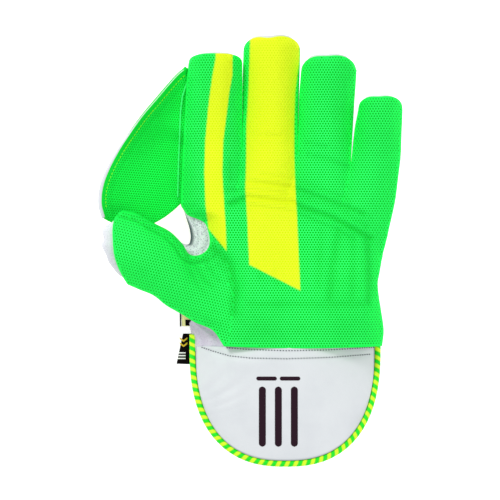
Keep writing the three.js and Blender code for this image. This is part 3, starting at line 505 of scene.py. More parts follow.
# Finger points: straight rows from the crotch line to a squared tip with round corners; the
# height rises with the curl and falls away at both sides as a power of the place across
def fingerSheet(k, alongs, sides, notch=0.0, corner=None):
    shares = lerp(crotchAcross[k], crotchAcross[k + 1], (sides + 1) / 2)
    rootX = palmWidth * lerp(*crotchEnds, shares)
    rootY = palmLength * lerp(crotchAlong[k], crotchAlong[k + 1], (sides + 1) / 2)
    rootWidth = rootX[-1] - rootX[0]
    tipY = (rootY[0] + rootY[-1]) / 2 + fingerSizes["lengths"][k]
    alongs = alongs[:, None]
    places = np.interp(alongs[:, 0], fingerAlongs, np.arange(len(fingerAlongs)))
    width = through(fingerWidths[:, None], places)
    if corner:
        width = lerp(1.0, 0.985, smooth(0.6, 1, alongs))
    half = rootWidth * lerp(1, fingerSizes["tipShares"][k], alongs) * width / 2
    centre = (rootX[0] + rootX[-1]) / 2 + fingerSizes["leans"][k] * palmWidth * alongs
    cornerDrop = 0.12 * min(rootWidth, 0.55 * fingerSizes["lengths"][k]) * alongs ** 10
    y = lerp(rootY, tipY, alongs) - notch * bell(sides, -0.12, 0.3) * alongs ** 14
    if corner:
        rounding = 1 - (1 - np.minimum(np.abs(sides), 0.999) ** corner[1]) ** (1 / corner[1])
        toTip = (1 - alongs) * fingerSizes["lengths"][k]
        y = y - corner[0] * rounding * np.clip(1 - toTip / (2.2 * corner[0]), 0, 1)
    else:
        y = y - cornerDrop * np.abs(sides) ** 4
    crown = lerp(0.6 * fingerSizes["crown"], fingerSizes["crown"], smooth(0, 0.4, alongs))
    progress = np.clip((y - rootY) / (tipY - rootY), 0, 1) if corner else alongs
    rise = fingerSizes["curl"] * progress ** 1.4 - 0.25 * fingerSizes["crown"] * progress ** 12
    own = palmHeight + rise - crown * np.abs(sides) ** 2.6
    z = lerp(palmZ(shares, rootY / palmLength), own, smooth(0, 0.16, alongs))
    return np.stack([centre + half * sides, y, z], -1)


thumbTurn = math.radians(thumb["angle"])
thumbAxis = np.array([-math.cos(thumbTurn), math.sin(thumbTurn)])
thumbSide = np.array([-thumbAxis[1], thumbAxis[0]])


# Thumb points: from the palm's edge, given root points, through rows that lie across the thumb;
# the height passes from the root's own to a crowned section
def thumbSheet(root, places):
    shares = np.linspace(0, 1, len(root))
    sides = 2 * shares - 1
    topAlong, topAcross, lowAlong, lowAcross, bulge = (thumbRows[:, k:k + 1] for k in range(5))
    along = lerp(topAlong, lowAlong, shares) + bulge * (1 - np.abs(sides) ** 3)
    across = lerp(topAcross, lowAcross, shares)
    base = np.array([thumb["across"] * palmWidth, thumb["along"] * palmLength])
    plan = (base + (along * thumb["length"])[..., None] * thumbAxis
            + (across * thumb["width"])[..., None] * thumbSide)
    plan = through(np.concatenate([root[None, :, :2], plan]), places)
    progress = (np.asarray(places) / len(thumbRows))[:, None]
    rise = thumb["rise"] * smooth(0, 0.8, progress) - 0.3 * thumb["crown"] * progress ** 10
    own = palmHeight + rise - thumb["crown"] * np.abs(sides) ** 2.4
    z = lerp(root[:, 2], own, smooth(0, 0.45, progress))
    return np.concatenate([plan, z[..., None]], -1)


# The coarse grids that the stalls hang from, as the solids have them
columnShares = np.concatenate([
    np.linspace(crotchAcross[k], crotchAcross[k + 1], 7)[:-1] for k in range(4)] + [[1.0]])
palmGrid = palmSheet(np.arange(20.0), columnShares)
coarseSides = np.linspace(-1, 1, 7)
fingerGrids = [fingerSheet(k, fingerAlongs, coarseSides) for k in range(4)]
thumbRootLine = palmGrid[:thumbRootRow + 1, 0][::-1]
thumbGrid = thumbSheet(thumbRootLine, np.arange(8.0))


# Normals of a grid, evened between neighbours
def gridNormals(grid, passes=3):
    rows, columns = grid.shape[:2]
    along = np.gradient(grid, axis=0)
    across = np.gradient(grid, axis=1)
    normals = unit(np.cross(across, along))
    normals = np.where(normals[..., 2:] < 0, -normals, normals)
    for _ in range(passes):
        padded = np.pad(normals, ((1, 1), (1, 1), (0, 0)), mode="edge")
        around = padded[2:, 1:-1] + padded[:-2, 1:-1] + padded[1:-1, 2:] + padded[1:-1, :-2]
        normals = unit(2 * normals + around)
    return normals


# A closed section: upper points, then a rounded lower side. With a the angle round the lower
# side, a point lies cos(a)^(2/q) of the half width across and sin(a)^(2/q) of the way down
def section(upper, bottomZ, squareness, lowerPoints=10):
    angles = np.pi * np.arange(1, lowerPoints) / lowerPoints
    power = 2 / np.reshape(squareness, (-1, 1))
    reach = np.sign(np.cos(angles)) * np.abs(np.cos(angles)) ** power
    drop = 1.04 * np.sin(angles) ** power
    middle = (upper[:, -1:] + upper[:, :1]) / 2
    half = (upper[:, -1:] - upper[:, :1]) / 2
    lower = middle + half * reach[..., None]
    bottom = np.reshape(bottomZ, (-1, 1))
    lower[..., 2] = np.maximum(bottom, lower[..., 2] - (lower[..., 2] - bottom) * drop)
    return np.concatenate([upper, lower], axis=1)


# Loops drawn in by the wall: leather above and at the sides, padding below
def drawnIn(loops, firstUpper, lastUpper, below):
    start, end = loops[:, lastUpper:lastUpper + 1], loops[:, firstUpper:firstUpper + 1]
    middle = (start + end) / 2
    halfWidth = np.linalg.norm(start - end, axis=-1, keepdims=True) / 2
    inner = middle + (loops - middle) * (1 - hand["leather"] / halfWidth)
    edgeZ = np.minimum(start[..., 2], end[..., 2])
    lowest = loops[..., 2].min(axis=1, keepdims=True)
    depth = np.clip((edgeZ - loops[..., 2]) / (edgeZ - lowest), 0, 1)
    inner[..., 2] = loops[..., 2] + lerp(-hand["leather"], below, depth)
    return inner


# A tube wall from outer and inner loops: both skins, a ring at the first loops, and at the
# last ones a ring or a fan to the middle of each
def tubeFaces(outer, inner, openEnd=False):
    rows, size = outer.shape[:2]
    innerRows = inner.shape[0]
    points = np.concatenate([outer.reshape(-1, 3), inner.reshape(-1, 3)])
    start = rows * size
    quads = [gridQuads(rows, size, True), gridQuads(innerRows, size, True)[:, ::-1] + start]
    i = np.arange(size)
    nextI = (i + 1) % size
    quads.append(np.stack([nextI, i, i + start, nextI + start], -1))
    outerEnd, innerEnd = (rows - 1) * size, start + (innerRows - 1) * size
    triangles = []
    if openEnd:
        quads.append(np.stack([i + outerEnd, nextI + outerEnd, nextI + innerEnd, i + innerEnd], -1))
    else:
        poles = np.stack([outer[-1].mean(0), inner[-1].mean(0)])
        first = len(points)
        points = np.concatenate([points, poles])
        triangles.append(np.stack([i + outerEnd, nextI + outerEnd, np.full(size, first)], -1))
        triangles.append(np.stack([nextI + innerEnd, i + innerEnd, np.full(size, first + 1)], -1))
    return points, [np.concatenate(quads)] + ([np.concatenate(triangles)] if triangles else [])


# Faces of so many rings of points, closed by a fan to one more point past each end
def spindleFaces(rings, sides):
    i = np.arange(sides)
    nextI, last, count = (i + 1) % sides, (rings - 1) * sides, rings * sides
    fans = [np.stack([nextI, i, np.full(sides, count)], -1),
            np.stack([i + last, nextI + last, np.full(sides, count + 1)], -1)]
    return gridQuads(rings, sides, True), np.concatenate(fans)


# Unit vectors along a line, level across it, and square to both
def frameAlong(line):
    tangent = unit(np.gradient(line, axis=0))
    side = unit(np.cross(tangent, [[0.0, 0.0, 1.0]]))
    return tangent, side, unit(np.cross(side, tangent))


# A round cord along a path: a ring at each point, its radius times the given share all round
def cordMesh(path, radius, sides=12, radiusAt=1.0):
    _, side, over = frameAlong(path)
    angle = 2 * np.pi * np.arange(sides) / sides
    size = radius * radiusAt * np.ones((len(path), sides))
    rings = (path[:, None] + size[..., None] * (np.cos(angle)[None, :, None] * side[:, None]
                                                + np.sin(angle)[None, :, None] * over[:, None]))
    points = np.concatenate([rings.reshape(-1, 3), path[:1], path[-1:]])
    return points, list(spindleFaces(len(path), sides))


# Points at even steps along a broken line
def evenSteps(line, step):
    line = np.asarray(line, float)
    lengths = np.concatenate([[0], np.cumsum(np.linalg.norm(np.diff(line, axis=0), axis=1))])
    marks = np.arange(step / 2, lengths[-1], step)
    return np.stack([np.interp(marks, lengths, line[:, k]) for k in range(line.shape[1])], -1)


# Many copies of a small turned shape: the profile's distances from its axis and heights above
# its seat, spun round each normal, from the given first direction where there is one
def spunCopies(seats, normals, profile, sides, turn=0.0, first=None):
    if first is None:
        helper = np.where(np.abs(normals[:, :1]) > 0.8, [[0.0, 1.0, 0.0]], [[1.0, 0.0, 0.0]])
        first = unit(np.cross(np.cross(normals, helper), normals))
    second = np.cross(normals, first)
    angle = turn + 2 * np.pi * np.arange(sides) / sides
    radii, heights = np.array(profile, float).T
    spokes = np.cos(angle)[None, :, None] * first[:, None] + np.sin(angle)[None, :, None] * second[:, None]
    body = (seats[:, None, None] + radii[None, 1:-1, None, None] * spokes[:, None]
            + heights[None, 1:-1, None, None] * normals[:, None, None])
    poles = seats[:, None] + heights[[0, -1]][None, :, None] * normals[:, None]
    points = np.concatenate([body.reshape(len(seats), -1, 3), poles], axis=1)
    starts = (np.arange(len(seats)) * points.shape[1])[:, None, None]
    faces = spindleFaces(len(radii) - 2, sides)
    return points.reshape(-1, 3), [(group[None] + starts).reshape(-1, group.shape[1]) for group in faces]


# Rubber facing: one sheet over palm, fingers and thumb, dented by creases
facing = {
    "columnsPerFinger": 42, "rowsPerStep": 6, "fingerRows": 57, "thumbRows": 61,
    # the first value is the bare sheet's colour level, from painted shade at 0 to a painted highlight at 1
    "shadeToHighlight": 0.6, "bandBlend": 0.5, "seamBow": 1.3, "tipDrop": 2.2,
    "evenPasses": 50, "evenWidth": 7, "cornerPasses": 24, "cornerWidth": 7,
    # each crease is a little wider and shallower than its row says, and a full shade deep at 1.4 mm
    "spread": 0.4, "shallow": 0.75, "shadeDepth": 1.4,
    # the thumb's roll: height, then distance from its edge and width
    "rollHeight": 1.3, "roll": (2.4, 1.8), "grooveDepth": 1.6, "groove": (5.2, 0.9),
    # yellow bands, as shares of the palm's width and length
    "bands": [
        [(-0.4556, 0.6), (-0.469, 0.72), (-0.475, 0.885), (-0.47, 1.05), (-0.456, 1.21), (-0.446, 1.293),
         (-0.434, 1.38), (-0.42, 1.46), (-0.42, 1.6), (-0.338, 1.6), (-0.34, 1.38), (-0.355, 1.293),
         (-0.3645, 1.21), (-0.384, 1.05), (-0.389, 0.885), (-0.38, 0.72), (-0.372, 0.6), (-0.369, 0.488)],
        [(-0.259, 0.417), (-0.2638, 0.519), (-0.2686, 0.641), (-0.278, 0.804), (-0.274, 0.967),
         (-0.273, 1.13), (-0.264, 1.293), (-0.258, 1.455), (-0.25, 1.75), (-0.02, 1.75), (-0.019, 1.455),
         (-0.0384, 1.293), (-0.043, 1.13), (-0.043, 0.967), (-0.038, 0.804), (-0.0288, 0.641),
         (-0.024, 0.519), (-0.0144, 0.285)],
    ],
    # creases: width and depth in millimetres, then the line in the palm's own millimetres
    "creases": [
        (1.5, 1.1, [(-36.7, 109.3), (-6.7, 106), (-0.7, 104), (40, 88.7)]),
        (1.6, 1.5, [(-48.7, 95.3), (-37.3, 99.3), (-6.7, 96), (-0.7, 92.7), (20, 86), (44.7, 72)]),
        (1.1, 0.6, [(-50, 104), (-36, 104.5), (-6, 101.3), (2, 98.5), (24, 91), (42, 80)]),
        (1.2, 0.6, [(-34, 93.5), (-8, 90), (8, 84), (24, 77), (34, 70)]),
        (1.1, 0.5, [(-28, 114), (-6, 111.5), (14, 104), (30, 98)]),
        (1.2, 0.5, [(-28.7, 140.7), (-15.3, 140.2)]),
        (1.2, 0.5, [(2.7, 135.3), (16, 132.7)]),
        (1.4, 0.6, [(3.3, 127.3), (18, 124.5), (31.3, 119.3)]),
        (1.4, 0.5, [(-48.7, 122), (-48, 111)]),
        (2.4, 0.9, [(23.3, 77.3), (19, 52), (16.7, 30.7)]),
        (2.0, 0.6, [(33.3, 77), (32, 30)]),
        (2.0, 0.5, [(12, 77), (10, 40)]),
        (2.2, 1.0, [(42.7, 70.7), (43.6, 50), (43.3, 28.7)]),
        (2.4, 1.4, [(-60, 66), (-52, 58), (-48.7, 52.7), (-45.3, 37.3), (-46.7, 22)]),
        (1.8, 0.7, [(-36, 28), (42, 28)]),
        (1.2, 0.7, [(-66.7, 58.7), (-62, 50), (-56, 44)]),
        (1.2, 0.6, [(-71, 54), (-67, 46), (-61, 40)]),
        (1.2, 0.6, [(-62, 62), (-57, 56), (-52, 50)]),
        (1.2, 0.5, [(-75, 50), (-71, 42), (-66, 36)]),
        (1.4, 0.5, [(-30, 55), (-28, 46)]),
        (1.4, 0.5, [(-18, 50), (-17, 42)]),
    ],
}


bandOutlines = [np.array(outline) * [palmWidth, palmLength] for outline in facing["bands"]]


# How yellow a point is: 1 well inside a band, 0 well outside, blended over a short way
def bandAt(points, blend):
    value = np.zeros(points.shape[:-1])
    for outline in bandOutlines:
        closed = np.concatenate([outline, outline[:1]])
        away = distanceTo(points, closed) * np.where(insideOutline(points, outline), 1, -1)
        value = np.maximum(value, smooth(-blend, blend, away))
    return value


columns, steps = facing["columnsPerFinger"], facing["rowsPerStep"]
evenSides = np.linspace(-1, 1, columns + 1)
fineSides = 0.55 * evenSides + 0.45 * np.sin(np.pi * evenSides / 2)    # closer together at a finger's edges
fineShares = np.concatenate([
    lerp(crotchAcross[k], crotchAcross[k + 1], (fineSides[:-1] + 1) / 2) for k in range(4)] + [[1.0]])
palmFine = palmSheet(np.arange(19 * steps + 1) / steps, fineShares)
fineAlongs = np.interp(np.linspace(0, 7, facing["fingerRows"]), np.arange(8), fingerAlongs)
fingerTips = [(0.0, (7.0, 3.0)), (1.5, (11.0, 2.7)), (0.7, (13.0, 2.7)), (0.5, (9.5, 2.8))]  # notch, corner
fingerFine = [fingerSheet(k, fineAlongs, fineSides, *fingerTips[k]) for k in range(4)]
for sheet in fingerFine:
    sheet[..., 2] -= facing["tipDrop"] * smooth(0.9, 1, fineAlongs)[:, None] ** 2
thumbFine = thumbSheet(palmFine[:thumbRootRow * steps + 1, 0][::-1], np.linspace(0, 7, facing["thumbRows"]))
sheetPoints, sheetQuads = joined([palmFine, *fingerFine, thumbFine])
neighbours = np.concatenate([sheetQuads[:, [k, (k + 1) % 4]] for k in range(4)])
neighbours = np.concatenate([neighbours, neighbours[:, ::-1]])
sheetRim = openEdges(sheetQuads)
onRim = np.isin(np.arange(len(sheetPoints)), sheetRim)
crotchLine = np.stack([palmWidth * lerp(*crotchEnds, crotchAcross), palmLength * crotchAlong], -1)
evening = 0.7 * bell(distanceTo(sheetPoints, crotchLine), 0, facing["evenWidth"])
evening[onRim] = 0
sheetPoints[:, 2:] = evened(sheetPoints[:, 2:], neighbours, evening, facing["evenPasses"])
# creases dent the sheet and get painted shade along their lines, full at 1.4 mm deep
paintedSheetShade = np.zeros(len(sheetPoints))
for narrow, deep, line in facing["creases"]:
    width, away = narrow + facing["spread"], distanceTo(sheetPoints, line)
    crease, lip = bell(away, 0, width), bell(away, 1.9 * width, width)
    sheetPoints[:, 2] += facing["shallow"] * deep * (0.3 * lip - 0.8 * crease)
    paintedSheetShade = np.maximum(paintedSheetShade, crease * min(1, deep / facing["shadeDepth"]))
toRoll = distanceTo(sheetPoints, thumbFine[:, 0, :2])
onRoll = smooth(-46, -50, sheetPoints[:, 0])
roll, groove = bell(toRoll, *facing["roll"]), bell(toRoll, *facing["groove"])
sheetPoints[:, 2] += onRoll * (facing["rollHeight"] * roll - facing["grooveDepth"] * groove)
# painted shade in the roll's groove, and a third as much over the strip between the groove and the edge
paintedSheetShade = np.maximum(paintedSheetShade, onRoll * np.maximum(groove, 0.3 * (toRoll < facing["groove"][0])))
shareAcross = (sheetPoints[:, 0] / palmWidth + 0.381) / 0.763
sheetPoints[:, 1] -= facing["seamBow"] * 4 * np.clip(shareAcross * (1 - shareAcross), 0, 1) * (
    1 - smooth(0, 0.12 * palmLength, sheetPoints[:, 1])) * (np.abs(sheetPoints[:, 0]) < 0.45 * palmWidth)
# the corner between the thumb's and the palm's edges is evened in all three directions
pairs = np.concatenate([neighbours[~onRim[neighbours[:, 0]]], sheetRim, sheetRim[:, ::-1]])
cornerPlace = palmFine[thumbRootRow * steps, 0, :2]
evening = 0.8 * bell(np.linalg.norm(sheetPoints[:, :2] - cornerPlace, axis=1), 0, facing["cornerWidth"])
sheetPoints = evened(sheetPoints, pairs, evening, facing["cornerPasses"])
sheetNormal = pointNormals(sheetPoints, sheetQuads)
sheetBand = bandAt(sheetPoints, facing["bandBlend"])
sheet = (sheetPoints, sheetQuads, sheetNormal, paintedSheetShade)
quadBand = bandAt(sheetPoints[sheetQuads].mean(1), 0.01)
quadX = sheetPoints[sheetQuads].mean(1)[:, 0]


# One rubber piece from some of the sheet's quads, with its wall and its colour
def rubberPiece(name, chosen):
    used, back = np.unique(sheetQuads[chosen], return_inverse=True)
    quads = back.reshape(-1, 4)
    points, faces = thicken(sheetPoints[used], quads, hand["facing"], sheetNormal[used])
    makeMesh(name + "_rubber", points, faces, rubber, replaces=[name],
             # fold is the painted shade of the creases and of the thumb's roll
             attributes={"band": np.tile(sheetBand[used], 2), "fold": np.tile(paintedSheetShade[used], 2),
                         "shadeToHighlight": np.full(len(points), facing["shadeToHighlight"])})


middleLine = -0.32 * palmWidth
rubberPiece("palm_facing", quadBand < 0.5)
rubberPiece("index_stripe", (quadBand >= 0.5) & (quadX < middleLine))
rubberPiece("middle_stripe", (quadBand >= 0.5) & (quadX >= middleLine))
print("rubber sheet made")

# Nubs: small six-sided cups side by side, with a painted highlight at the rim and painted shade in the sunk
# middle
nubs = {
    "sides": 6, "edge": 1.25,
    # distance from the axis, height above the sheet
    "profile": [(0, -0.4), (1.06, 0.16), (0.42, 0.07), (0, 0.05)],
    # colour level at each point of the profile, from painted shade at 0 to a painted highlight at 1
    "ringShadeToHighlight": [0.5, 1.0, 0.0, 0.0],
    # the two steps of each pattern, in millimetres
    "palmSteps": ((1.84, 0), (0.92, 1.61)), "thumbSteps": ((1.8, -0.433), (1.3, 1.483)),
    "webSteps": ((1.6, -0.113), (1.083, 1.483)),
}


# A lattice over a box: whole numbers of two steps from the box's middle
def latticeOver(low, high, steps):
    centre = (np.array(low) + np.array(high)) / 2
    reach = int(np.linalg.norm(np.array(high) - np.array(low)) / 2 / 1.3)
    i, j = np.meshgrid(np.arange(-reach, reach + 1), np.arange(-reach, reach + 1), indexing="ij")
    plan = centre + i[..., None] * np.array(steps[0]) + j[..., None] * np.array(steps[1])
    plan = plan.reshape(-1, 2)
    return plan[((plan > low) & (plan < high)).all(1)]


# Number and plan distance of the nearest sheet point to each lattice point, in batches
def nearest(plan, points):
    number, away = np.zeros(len(plan), int), np.zeros(len(plan))
    for start in range(0, len(plan), 256):
        part = plan[start:start + 256]
        low, high = part.min(0) - 4, part.max(0) + 4
        near = np.flatnonzero(((points[:, :2] > low) & (points[:, :2] < high)).all(1))
        if not len(near):
            number[start:start + 256], away[start:start + 256] = 0, 1e9
            continue
        squares = ((part[:, None] - points[None, near, :2]) ** 2).sum(-1)
        number[start:start + 256] = near[squares.argmin(1)]
        away[start:start + 256] = np.sqrt(squares.min(1))
    return number, away


# Seats the lattice on a sheet: height from the tangent plane at the nearest of its points and
# its quads' middles, nothing nearer to the open edge than the given distance
def seatNubs(plan, sheet, edge):
    points, quads, normals, fold = sheet
    onEdge = np.isin(np.arange(len(points) + len(quads)), openEdges(quads))
    edgePoints = points[onEdge[:len(points)]]
    points = np.concatenate([points, points[quads].mean(1)])
    normals = np.concatenate([normals, unit(normals[quads].mean(1))])
    # the painted crease shade is read at each sheet point and quad middle, for the nubs to carry
    fold = np.concatenate([fold, fold[quads].mean(1)])
    number, away = nearest(plan, points)
    _, toEdge = nearest(plan, edgePoints)
    kept = ~onEdge[number] & (toEdge > edge) & (away < 0.75)
    plan, number = plan[kept], number[kept]
    normal = normals[number]
    offset = plan - points[number, :2]
    slope = (normal[:, :2] * offset).sum(1) / np.maximum(normal[:, 2], 0.25)
    z = points[number, 2] - slope
    return np.concatenate([plan, z[:, None]], -1), normal, fold[number]


# One piece of nubs: the profile spun round each seat's normal, with a level from painted shade to painted
# highlight for each of its points, and its seat's painted crease shade
def nubPiece(name, seated, step, size=1.0, paintedLightScale=1.0, plain=False):
    seats, normals, folds = seated
    profile = np.array(nubs["profile"]) * size
    turn = math.atan2(step[1], step[0]) + math.pi / 6
    points, faces = spunCopies(seats, normals, profile, nubs["sides"], turn)
    # a scale below 1 weakens the painted highlight and darkens the seat
    ringShadeToHighlight = np.array(nubs["ringShadeToHighlight"]) * paintedLightScale
    shadeToHighlight = np.tile(np.concatenate([np.repeat(ringShadeToHighlight[1:-1], nubs["sides"]), ringShadeToHighlight[[0, -1]]]), len(seats))
    band = np.zeros(len(points)) if plain else bandAt(points, facing["bandBlend"])
    # each nub takes the painted crease shade of its seat
    fold = np.repeat(folds, len(points) // len(seats))
    makeMesh(name, points, faces, rubber, smoothShade=False,
             attributes={"band": band, "shadeToHighlight": shadeToHighlight, "fold": fold})


thumbLine = np.array([(-50, -1), (-46, 30), (-49, 52), (-58, 70), (-66, 82)], float)


# Left of the thenar crease and below the gap that the web and the thumb leave
def inThumbCorner(plan, margin):
    x, y = plan[:, 0], plan[:, 1]
    left = x - np.interp(y, thumbLine[:, 1], thumbLine[:, 0]) < -margin
    return left & ((y < 82) | ((x < -86) & (y < 95)))


palmPlan = latticeOver((-95, -5), (75, 215), nubs["palmSteps"])
palmPlan = palmPlan[~inThumbCorner(palmPlan, 0)]
seated = seatNubs(palmPlan, sheet, nubs["edge"])
isYellow = bandAt(seated[0], 0.01) > 0.5
nubPiece("palm_nubs", [part[~isYellow] for part in seated], nubs["palmSteps"][0])
nubPiece("band_nubs", [part[isYellow] for part in seated], nubs["palmSteps"][0])
thumbPlan = latticeOver((-150, -20), (-40, 110), nubs["thumbSteps"])
thumbPlan = thumbPlan[inThumbCorner(thumbPlan, 0.5)]
nubPiece("thumb_nubs", seatNubs(thumbPlan, sheet, nubs["edge"]), nubs["thumbSteps"][0])
print("nubs seated")


# Coarse loops made fine: so many rows to each step, so many samples to each point
def refine(loops, rowsPerStep, samples):
    places = np.linspace(0, len(loops) - 1, (len(loops) - 1) * rowsPerStep + 1)
    return roundLoop(through(loops, places), samples)


welded, weldedQuads = joined([palmGrid, *fingerGrids, thumbGrid])
coarseNormals = pointNormals(welded, weldedQuads)


# Grid points moved down along the sheet's normals
def under(grid, depth):
    flat = grid.reshape(-1, 3)
    away = np.linalg.norm(flat[:, None] - welded[None], axis=-1)
    normals = coarseNormals[away.argmin(1)].reshape(grid.shape)
    return grid - normals * depth


# Rows drawn in by a gap at both ends, in proportion between them
def narrowed(rows, gap):
    middle = (rows[:, :1] + rows[:, -1:]) / 2
    half = np.linalg.norm(rows[:, :1] - middle, axis=-1, keepdims=True)
    return middle + (rows - middle) * (1 - gap / half)


stallFit = hand["facing"] + 2.5 * hand["gap"]
handFit = stallFit + 2 * hand["gap"]
thumbFit = handFit + hand["gap"]

# Finger stalls: squarish padded tubes that swell past the rubber's left edge, ridged by the
# padding's seams on the back
stalls = {
    "names": ["index_finger", "middle_finger", "ring_finger", "little_finger"],
    "bulges": [0.0, 1.0, 1.4, 1.6], "rowsPerStep": 7, "samples": 8,
    "tips": [0.0, 0.6, 0.6, 0.0], "caps": [0.6, 1.8, 1.8, 0.6], "squarer": 2.2, "undercut": 8.0,
    "ridges": 3, "ridgeDepth": 1.1, "squareness": (3.1, 2.5), "capSize": 0.86, "lining": 0.7,
}


# Grooves between padding rolls on the lower side: the surface sinks by a sharp cosine of the
# place across, and not at the edges
def paddingRolls(loops, depth, count):
    x, z = loops[..., 0], loops[..., 2]
    share = 2 * (x - x.mean(1, keepdims=True)) / np.ptp(x, axis=1)[:, None]
    groove = np.abs(np.cos(np.pi * count * (share + 1) / 2)) ** 14
    lowerSide = smooth(0, 1, (z.max(1, keepdims=True) - z) / 12) * smooth(1.0, 0.8, np.abs(share))
    shaped = loops.copy()
    shaped[..., 2] += depth * groove * lowerSide
    return shaped


stallSides = np.linspace(-1, 1, 11)
for k, name in enumerate(stalls["names"]):
    notch, (radius, roundness) = fingerTips[k]
    grid = fingerSheet(k, fingerAlongs, stallSides, notch, (radius - stalls["squarer"], roundness))
    upper = narrowed(grid - gridNormals(grid) * stallFit, 1.3 * hand["gap"])
    bulge = stalls["bulges"][k] * smooth(0, 0.3, fingerAlongs)[:, None]
    upper[..., 0] -= bulge * smooth(0.2, -1, stallSides)
    top = upper[..., 2].max(1)
    depth = lerp(palmHeight - stallFit, fingerSizes["depth"], smooth(0, 0.75, fingerAlongs))
    outer = section(upper, np.maximum(0, top - depth),
                    lerp(*stalls["squareness"], smooth(0, 0.5, fingerAlongs)))
    for j in range(len(outer)):
        outer[j, :, 1] = np.interp(outer[j, :, 0], grid[j, :, 0], grid[j, :, 1])
    lowShare = (top[:, None] - outer[..., 2]) / np.ptp(outer[..., 2], axis=1)[:, None]
    outer[..., 1] -= stalls["undercut"] * fingerAlongs[:, None] ** 5 * lowShare ** 2
    cap = lerp(outer[-1].mean(0), outer[-1], stalls["capSize"])
    cap[:, 1] += stalls["caps"][k]
    outer = np.concatenate([outer, cap[None]])
    for j in range(1, len(outer)):
        outer[j, :, 1] = np.maximum(outer[j, :, 1], outer[j - 1, :, 1] + hand["leather"] / 2)
    outer[-2:, :, 1] += stalls["tips"][k] * np.array([1.0, 0.3])[:, None]
    fine = refine(outer, stalls["rowsPerStep"], stalls["samples"])
    fine = paddingRolls(fine, stalls["ridgeDepth"], stalls["ridges"])
    inner = drawnIn(outer[:-2], 0, len(stallSides) - 1, hand["padding"] * stalls["lining"])
    points, faces = tubeFaces(fine, refine(inner, stalls["rowsPerStep"], stalls["samples"]))
    piece = makeMesh(name + "_leather", points, faces, backLeather, replaces=[name])

# Hand shell: padded sections under the palm from the wrist seam to the knuckles
shell = {"squareness": 3.4, "lowerPoints": 16, "rollDepth": 1.6, "rolls": 7, "fineness": 5}
handRows = [0, 1, 3, 5, 6, 8, 9, 10, 11, 12, 14, 15, 17, 18, 19]
handUpper = under(palmGrid, handFit)[handRows]
handUpper[..., 0] = narrowed(handUpper, hand["gap"])[..., 0]
handOuter = section(handUpper, np.zeros(len(handRows)), np.full(len(handRows), shell["squareness"]),
                    shell["lowerPoints"])
handOuter[0, :, 1] = 0
knuckles = palmGrid[-1]
handOuter[-1, :, 1] = np.interp(handOuter[-1, :, 0], knuckles[:, 0], knuckles[:, 1]) - 3 * hand["gap"]
handInner = drawnIn(handOuter, 0, handUpper.shape[1] - 1, hand["padding"])
fineOuter = refine(handOuter, shell["fineness"], shell["fineness"])
fineInner = refine(handInner, shell["fineness"], shell["fineness"])
fineOuter = paddingRolls(fineOuter, shell["rollDepth"], shell["rolls"])
points, faces = tubeFaces(fineOuter, fineInner, openEnd=True)
piece = makeMesh("hand_leather", points, faces, backLeather, replaces=["hand_shell"])

# Thumb shell: a crowned section that rolls over at the tip, with fine wrinkles there
cap = {
    "squareness": 2.6, "wrinkle": 0.7, "rowsPerStep": 7, "samples": 6,
    "loops": [(0.35, 0.92), (0.75, 0.74), (1, 0.4)],      # how far out, and its size beside the last section
}
thumbUpper = narrowed(under(thumbGrid, thumbFit), hand["gap"])
thumbProgress = np.arange(8) / 7
thumbDepth = lerp(palmHeight - hand["padding"], thumb["depth"], smooth(0, 0.6, thumbProgress))
thumbOuter = section(thumbUpper, np.maximum(hand["padding"], thumbUpper[..., 2].max(1) - thumbDepth),
                     np.full(8, cap["squareness"]))
outwards = unit(np.append(thumbAxis + 0.7 * thumbSide, 0.0))
tipCentre = thumbOuter[-1].mean(0)
tipLoops = [lerp(tipCentre, thumbOuter[-1], scale) + outwards * along * thumb["tip"]
            for along, scale in cap["loops"]]
thumbOuter = np.concatenate([thumbOuter, np.stack(tipLoops)])
thumbInner = drawnIn(thumbOuter[:-1], 0, 8, hand["leather"] * 1.5)
fineOuter = refine(thumbOuter, cap["rowsPerStep"], cap["samples"])
wrinkle = cap["wrinkle"] * np.sin(fineOuter[..., 1] * 0.55 + 0.05 * fineOuter[..., 2])
wrinkle *= smooth(0.72, 0.95, np.linspace(0, 1, len(fineOuter)))[:, None]
fineOuter[..., :2] += wrinkle[..., None] * thumbAxis
points, faces = tubeFaces(fineOuter, refine(thumbInner, cap["rowsPerStep"], cap["samples"]))
piece = makeMesh("thumb_leather", points, faces, thumbLeather, replaces=["thumb_shell"])
print("stalls and shells made")

# Web between the index finger and the thumb
web = {
    "width": 53.5, "sag": 5, "thickness": 2.4, "backing": 1.0, "binding": 2.4,
    "seamRadius": 0.55, "stitchDent": 0.35,
    "rowsPerStep": 8, "columnsPerStep": 8, "foldIn": 6.7, "foldDepth": 0.4, "stitchIn": 2.6,
    # the last two on the next line are colour levels, from painted shade at 0 to a painted highlight at 1
    "tuck": 1.2, "tuckDepth": 2.0, "shadeToHighlight": 0.25, "backingShadeToHighlight": 0.4,
    "stitch": (2.5, 1.8, 0.42),                  # pitch, length, radius
    "nubEdge": 0.9, "nubMargin": 1.8, "nubSize": 0.92, "nubPaintedLightScale": 0.72,
    # out: distance from the finger as a share of the width; down: share of the height
    "outer": [(-0.085, 0), (0.02, 0.05), (0.14, 0.13), (0.295, 0.24), (0.465, 0.36), (0.62, 0.49),
              (0.762, 0.62), (0.885, 0.76), (0.964, 0.89), (0.985, 1.02), (0.94, 1.13)],
}
webSide = np.concatenate([palmGrid[14:19, 0], fingerGrids[0][:6, 0]])[::-1]
webTop, webFoot = webSide[0], webSide[-1]
webHeight = webTop[1] - webFoot[1]


